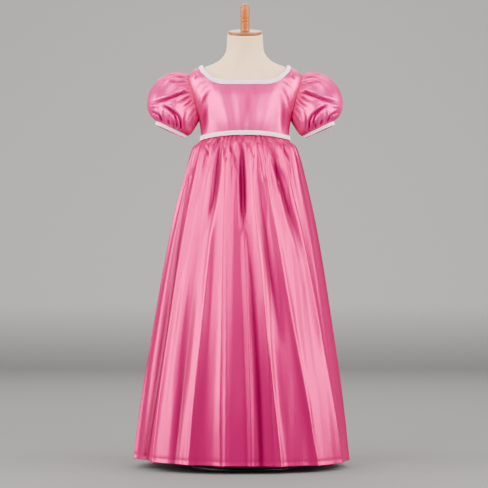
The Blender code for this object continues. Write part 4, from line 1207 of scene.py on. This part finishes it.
# %% [markdown]
# ## The zip
#
# A dress zip closes the centre back. Its slider and pull tab have the shape that their CAD solids have, so
# each new piece is a copy of its solid with the edges rounded by a Bevel, because stamped metal has no sharp
# edges. The tab rides on its own body and swings with it. The coil is a flattened helix between the two
# backs, and a row of stitches on each side holds its tape.


# %% Slider and tab
def edged_copy(name, node, width, body):
    """A CAD node's mesh, with its loose triangles merged and its edges rounded."""
    shape = bmesh.new()
    shape.from_mesh(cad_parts[node].data)
    bmesh.ops.remove_doubles(shape, verts=shape.verts, dist=0.001 * MM)
    bmesh.ops.dissolve_limit(shape, angle_limit=math.radians(1), verts=shape.verts, edges=shape.edges)
    mesh = bpy.data.meshes.new(name)
    shape.to_mesh(mesh)
    shape.free()
    piece = bpy.data.objects.new(name, mesh)
    bpy.context.scene.collection.objects.link(piece)
    edge = piece.modifiers.new("edge", "BEVEL")
    edge.width = width
    edge.segments = 3
    edge.limit_method = "ANGLE"
    edge.angle_limit = math.radians(40)
    mesh.shade_smooth()
    mesh.set_sharp_from_angle(angle=math.radians(50))
    return dress(piece, enamel_finish, "pink_enamel", node, body=body)


edged_copy("enamel_slider", "zip_slider", 0.2 * MM, "dress")
edged_copy("enamel_pull", "zip_pull", 0.25 * MM, "pull_tab")


# %% Coil and stitched rows of the zip
COIL_TOP, COIL_FOOT, COIL_PITCH = 1068 * MM, 926 * MM, 1.3 * MM
COIL_REACH, COIL_RISE, COIL_WIRE = 1.1 * MM, 0.3 * MM, 0.24 * MM
ROW_FROM_ZIP, ROW_STEP = 6 * MM, 2.6 * MM


def beside_zip(height, across):
    """Angle on the form of a place at the back, this far to the left or right of the middle."""
    turning, _ = section_slopes(FORM, np.full_like(height, math.pi), height)
    return math.pi + across / np.linalg.norm(turning, axis=-1)


def coil_points(per_loop=10, sides=5):
    """A flattened helix: across is A cos(p), lift is B sin(p), and each loop is one pitch further down."""
    loops = round((COIL_TOP - COIL_FOOT) / COIL_PITCH)
    p = np.linspace(0, 2 * math.pi * loops, loops * per_loop + 1)[:, None]
    turn = np.linspace(0, 2 * math.pi, sides, endpoint=False)[None, :]
    height = COIL_TOP - (COIL_TOP - COIL_FOOT) * p / p[-1] + COIL_WIRE * np.sin(turn)
    across = COIL_REACH * np.cos(p) + 0 * turn
    lift = EASE + CLOTH * 0.6 + COIL_RISE * np.sin(p) + COIL_WIRE * np.cos(turn)
    tube = over_form(beside_zip(height, across), height, lift)
    ends = tube[[0, -1]].mean(axis=1, keepdims=True) + 0 * tube[[0, -1]]
    return np.concatenate([ends[:1], tube, ends[1:]])


coil = grid_piece("zip_coil", coil_points(), around=True, merge=True, inside=(0, 0, 1.0))
dress(coil, enamel_finish, "pink_enamel")
for name, side in (("left", -1), ("right", 1)):
    height = np.arange(COIL_FOOT, COIL_TOP + 20 * MM, ROW_STEP)
    angle = beside_zip(height, side * ROW_FROM_ZIP + 0 * height)
    line = over_form(angle, height, EASE + CLOTH + 0 * height)
    stitches(f"stitch_zip_{name}", line, section_normal(FORM, angle, height))

# %% [markdown]
# ## The cut of each panel
#
# A cut would hold a panel's piece, width, length, share, held and carrier; only that form is set here. In a
# dressmaker's pattern for a chest of 70 cm a gathered skirt is cut wider than it looks, and a curved bodice
# panel fills about three quarters of its rectangle.

Cut = namedtuple("Cut", "piece width length share held carrier")

# %% [markdown]
# ## The studio
#
# The dress stands on a seamless sheet of grey paper that curves up behind it. Satin shows its lights as
# streaks along the folds, so the lamps matter as much as the material. Two tall softboxes stand at its sides,
# so that the flanks of the folds are light and the valleys stay deep, two smaller ones in front and above
# light the bodice, and weaker ones behind keep the back from going dark.


# %% Backdrop
def backdrop_finish():
    material, shader, shade = new_finish("studio_paper", Roughness=0.9, Specular_IOR_Level=0.1)
    place = shade.node("ShaderNodeTexCoord", {}, {}, 3)
    height = shade.node("ShaderNodeSeparateXYZ", {}, {"Vector": place}, 2)
    mottle = shade.node("ShaderNodeTexNoise", {}, {"Scale": 0.7, "Detail": 2.0})
    # Painted shade: the paper is darker on the floor and grows lighter up to 0.32 m above it, with a faint random
    # mottle.
    share = shade.node("ShaderNodeMapRange", {}, {"Value": height + mottle * 0.05, "From Max": 0.32})
    feed(shader, "Base Color", blend_colours(shade, share, (0.110, 0.106, 0.103), (0.285, 0.275, 0.262)))
    return material


def backdrop_points():
    """A floor, a quarter circle and a wall: one profile carried sideways."""
    bend = np.linspace(0, math.pi / 2, 24)
    profile_y = np.concatenate([[-12.0], 4.6 + 2.2 * np.sin(bend), [6.8]])
    profile_z = np.concatenate([[0.0], 2.2 - 2.2 * np.cos(bend), [8.0]])
    x = np.linspace(-12, 12, 3)[:, None]
    return np.stack(np.broadcast_arrays(x, profile_y[None, :], profile_z[None, :]), axis=-1)


paper = grid_piece("studio_paper", backdrop_points(), inside=(0, 10, -5))
paper.data.materials.append(backdrop_finish())


# %% Lamps
def softbox(name, place, target, width, height, power, colour=(1, 1, 1)):
    """A rectangular area lamp that faces its target."""
    data = bpy.data.lights.new(name, "AREA")
    data.shape = "RECTANGLE"
    data.size, data.size_y = width, height
    data.energy, data.color = power, colour
    lamp = bpy.data.objects.new(name, data)
    lamp.location = place
    lamp.rotation_euler = (Vector(target) - Vector(place)).to_track_quat("-Z", "Y").to_euler()
    lamp.visible_camera = False
    bpy.context.scene.collection.objects.link(lamp)


softbox("side_left", (-3.3, -0.7, 1.5), (0, 0, 0.7), 1.8, 2.6, 300)
softbox("side_right", (3.3, -0.7, 1.5), (0, 0, 0.7), 1.8, 2.6, 285)
softbox("front_left", (-1.4, -1.9, 1.55), (0, 0, 1.05), 1.4, 1.5, 100)
softbox("front_right", (1.4, -1.9, 1.55), (0, 0, 1.05), 1.4, 1.5, 90)
softbox("overhead", (0, -1.0, 3.5), (0, 0, 0.9), 2.0, 1.4, 80)
softbox("back_fill", (0, 3.4, 2.9), (0, 0, 0.7), 3.2, 1.6, 110)
softbox("floor_wash", (0, 2.4, 3.4), (0, 4.6, 0), 7.0, 1.0, 180)
softbox("backdrop_wash", (0, 1.8, 5.4), (0, 5.6, 0.2), 8.0, 1.6, 400)
world = bpy.data.worlds.new("studio")
world.use_nodes = True
world.node_tree.nodes["Background"].inputs["Color"].default_value = (0.92, 0.94, 1.0, 1)
world.node_tree.nodes["Background"].inputs["Strength"].default_value = 0.2
bpy.context.scene.world = world

# %% [markdown]
# ## The camera
#
# The camera stands 6 m in front of the dress, level, at the height of its middle. Its lens is worked out from
# how much it has to take in: 1366 mm of the plane through the middle of the dress fill the picture's width.

# %% Camera
CAMERA_DISTANCE, CAMERA_HEIGHT, FIELD = 6.0, 0.622, 1.3664
camera_data = bpy.data.cameras.new("camera")
camera_data.sensor_width = 36
camera_data.lens = camera_data.sensor_width * CAMERA_DISTANCE / FIELD
camera_data.shift_x = -1 / 488
camera = bpy.data.objects.new("camera", camera_data)
camera.location = (0, -CAMERA_DISTANCE, CAMERA_HEIGHT)
camera.rotation_euler = (math.pi / 2, 0, 0)
bpy.context.scene.collection.objects.link(camera)
bpy.context.scene.camera = camera
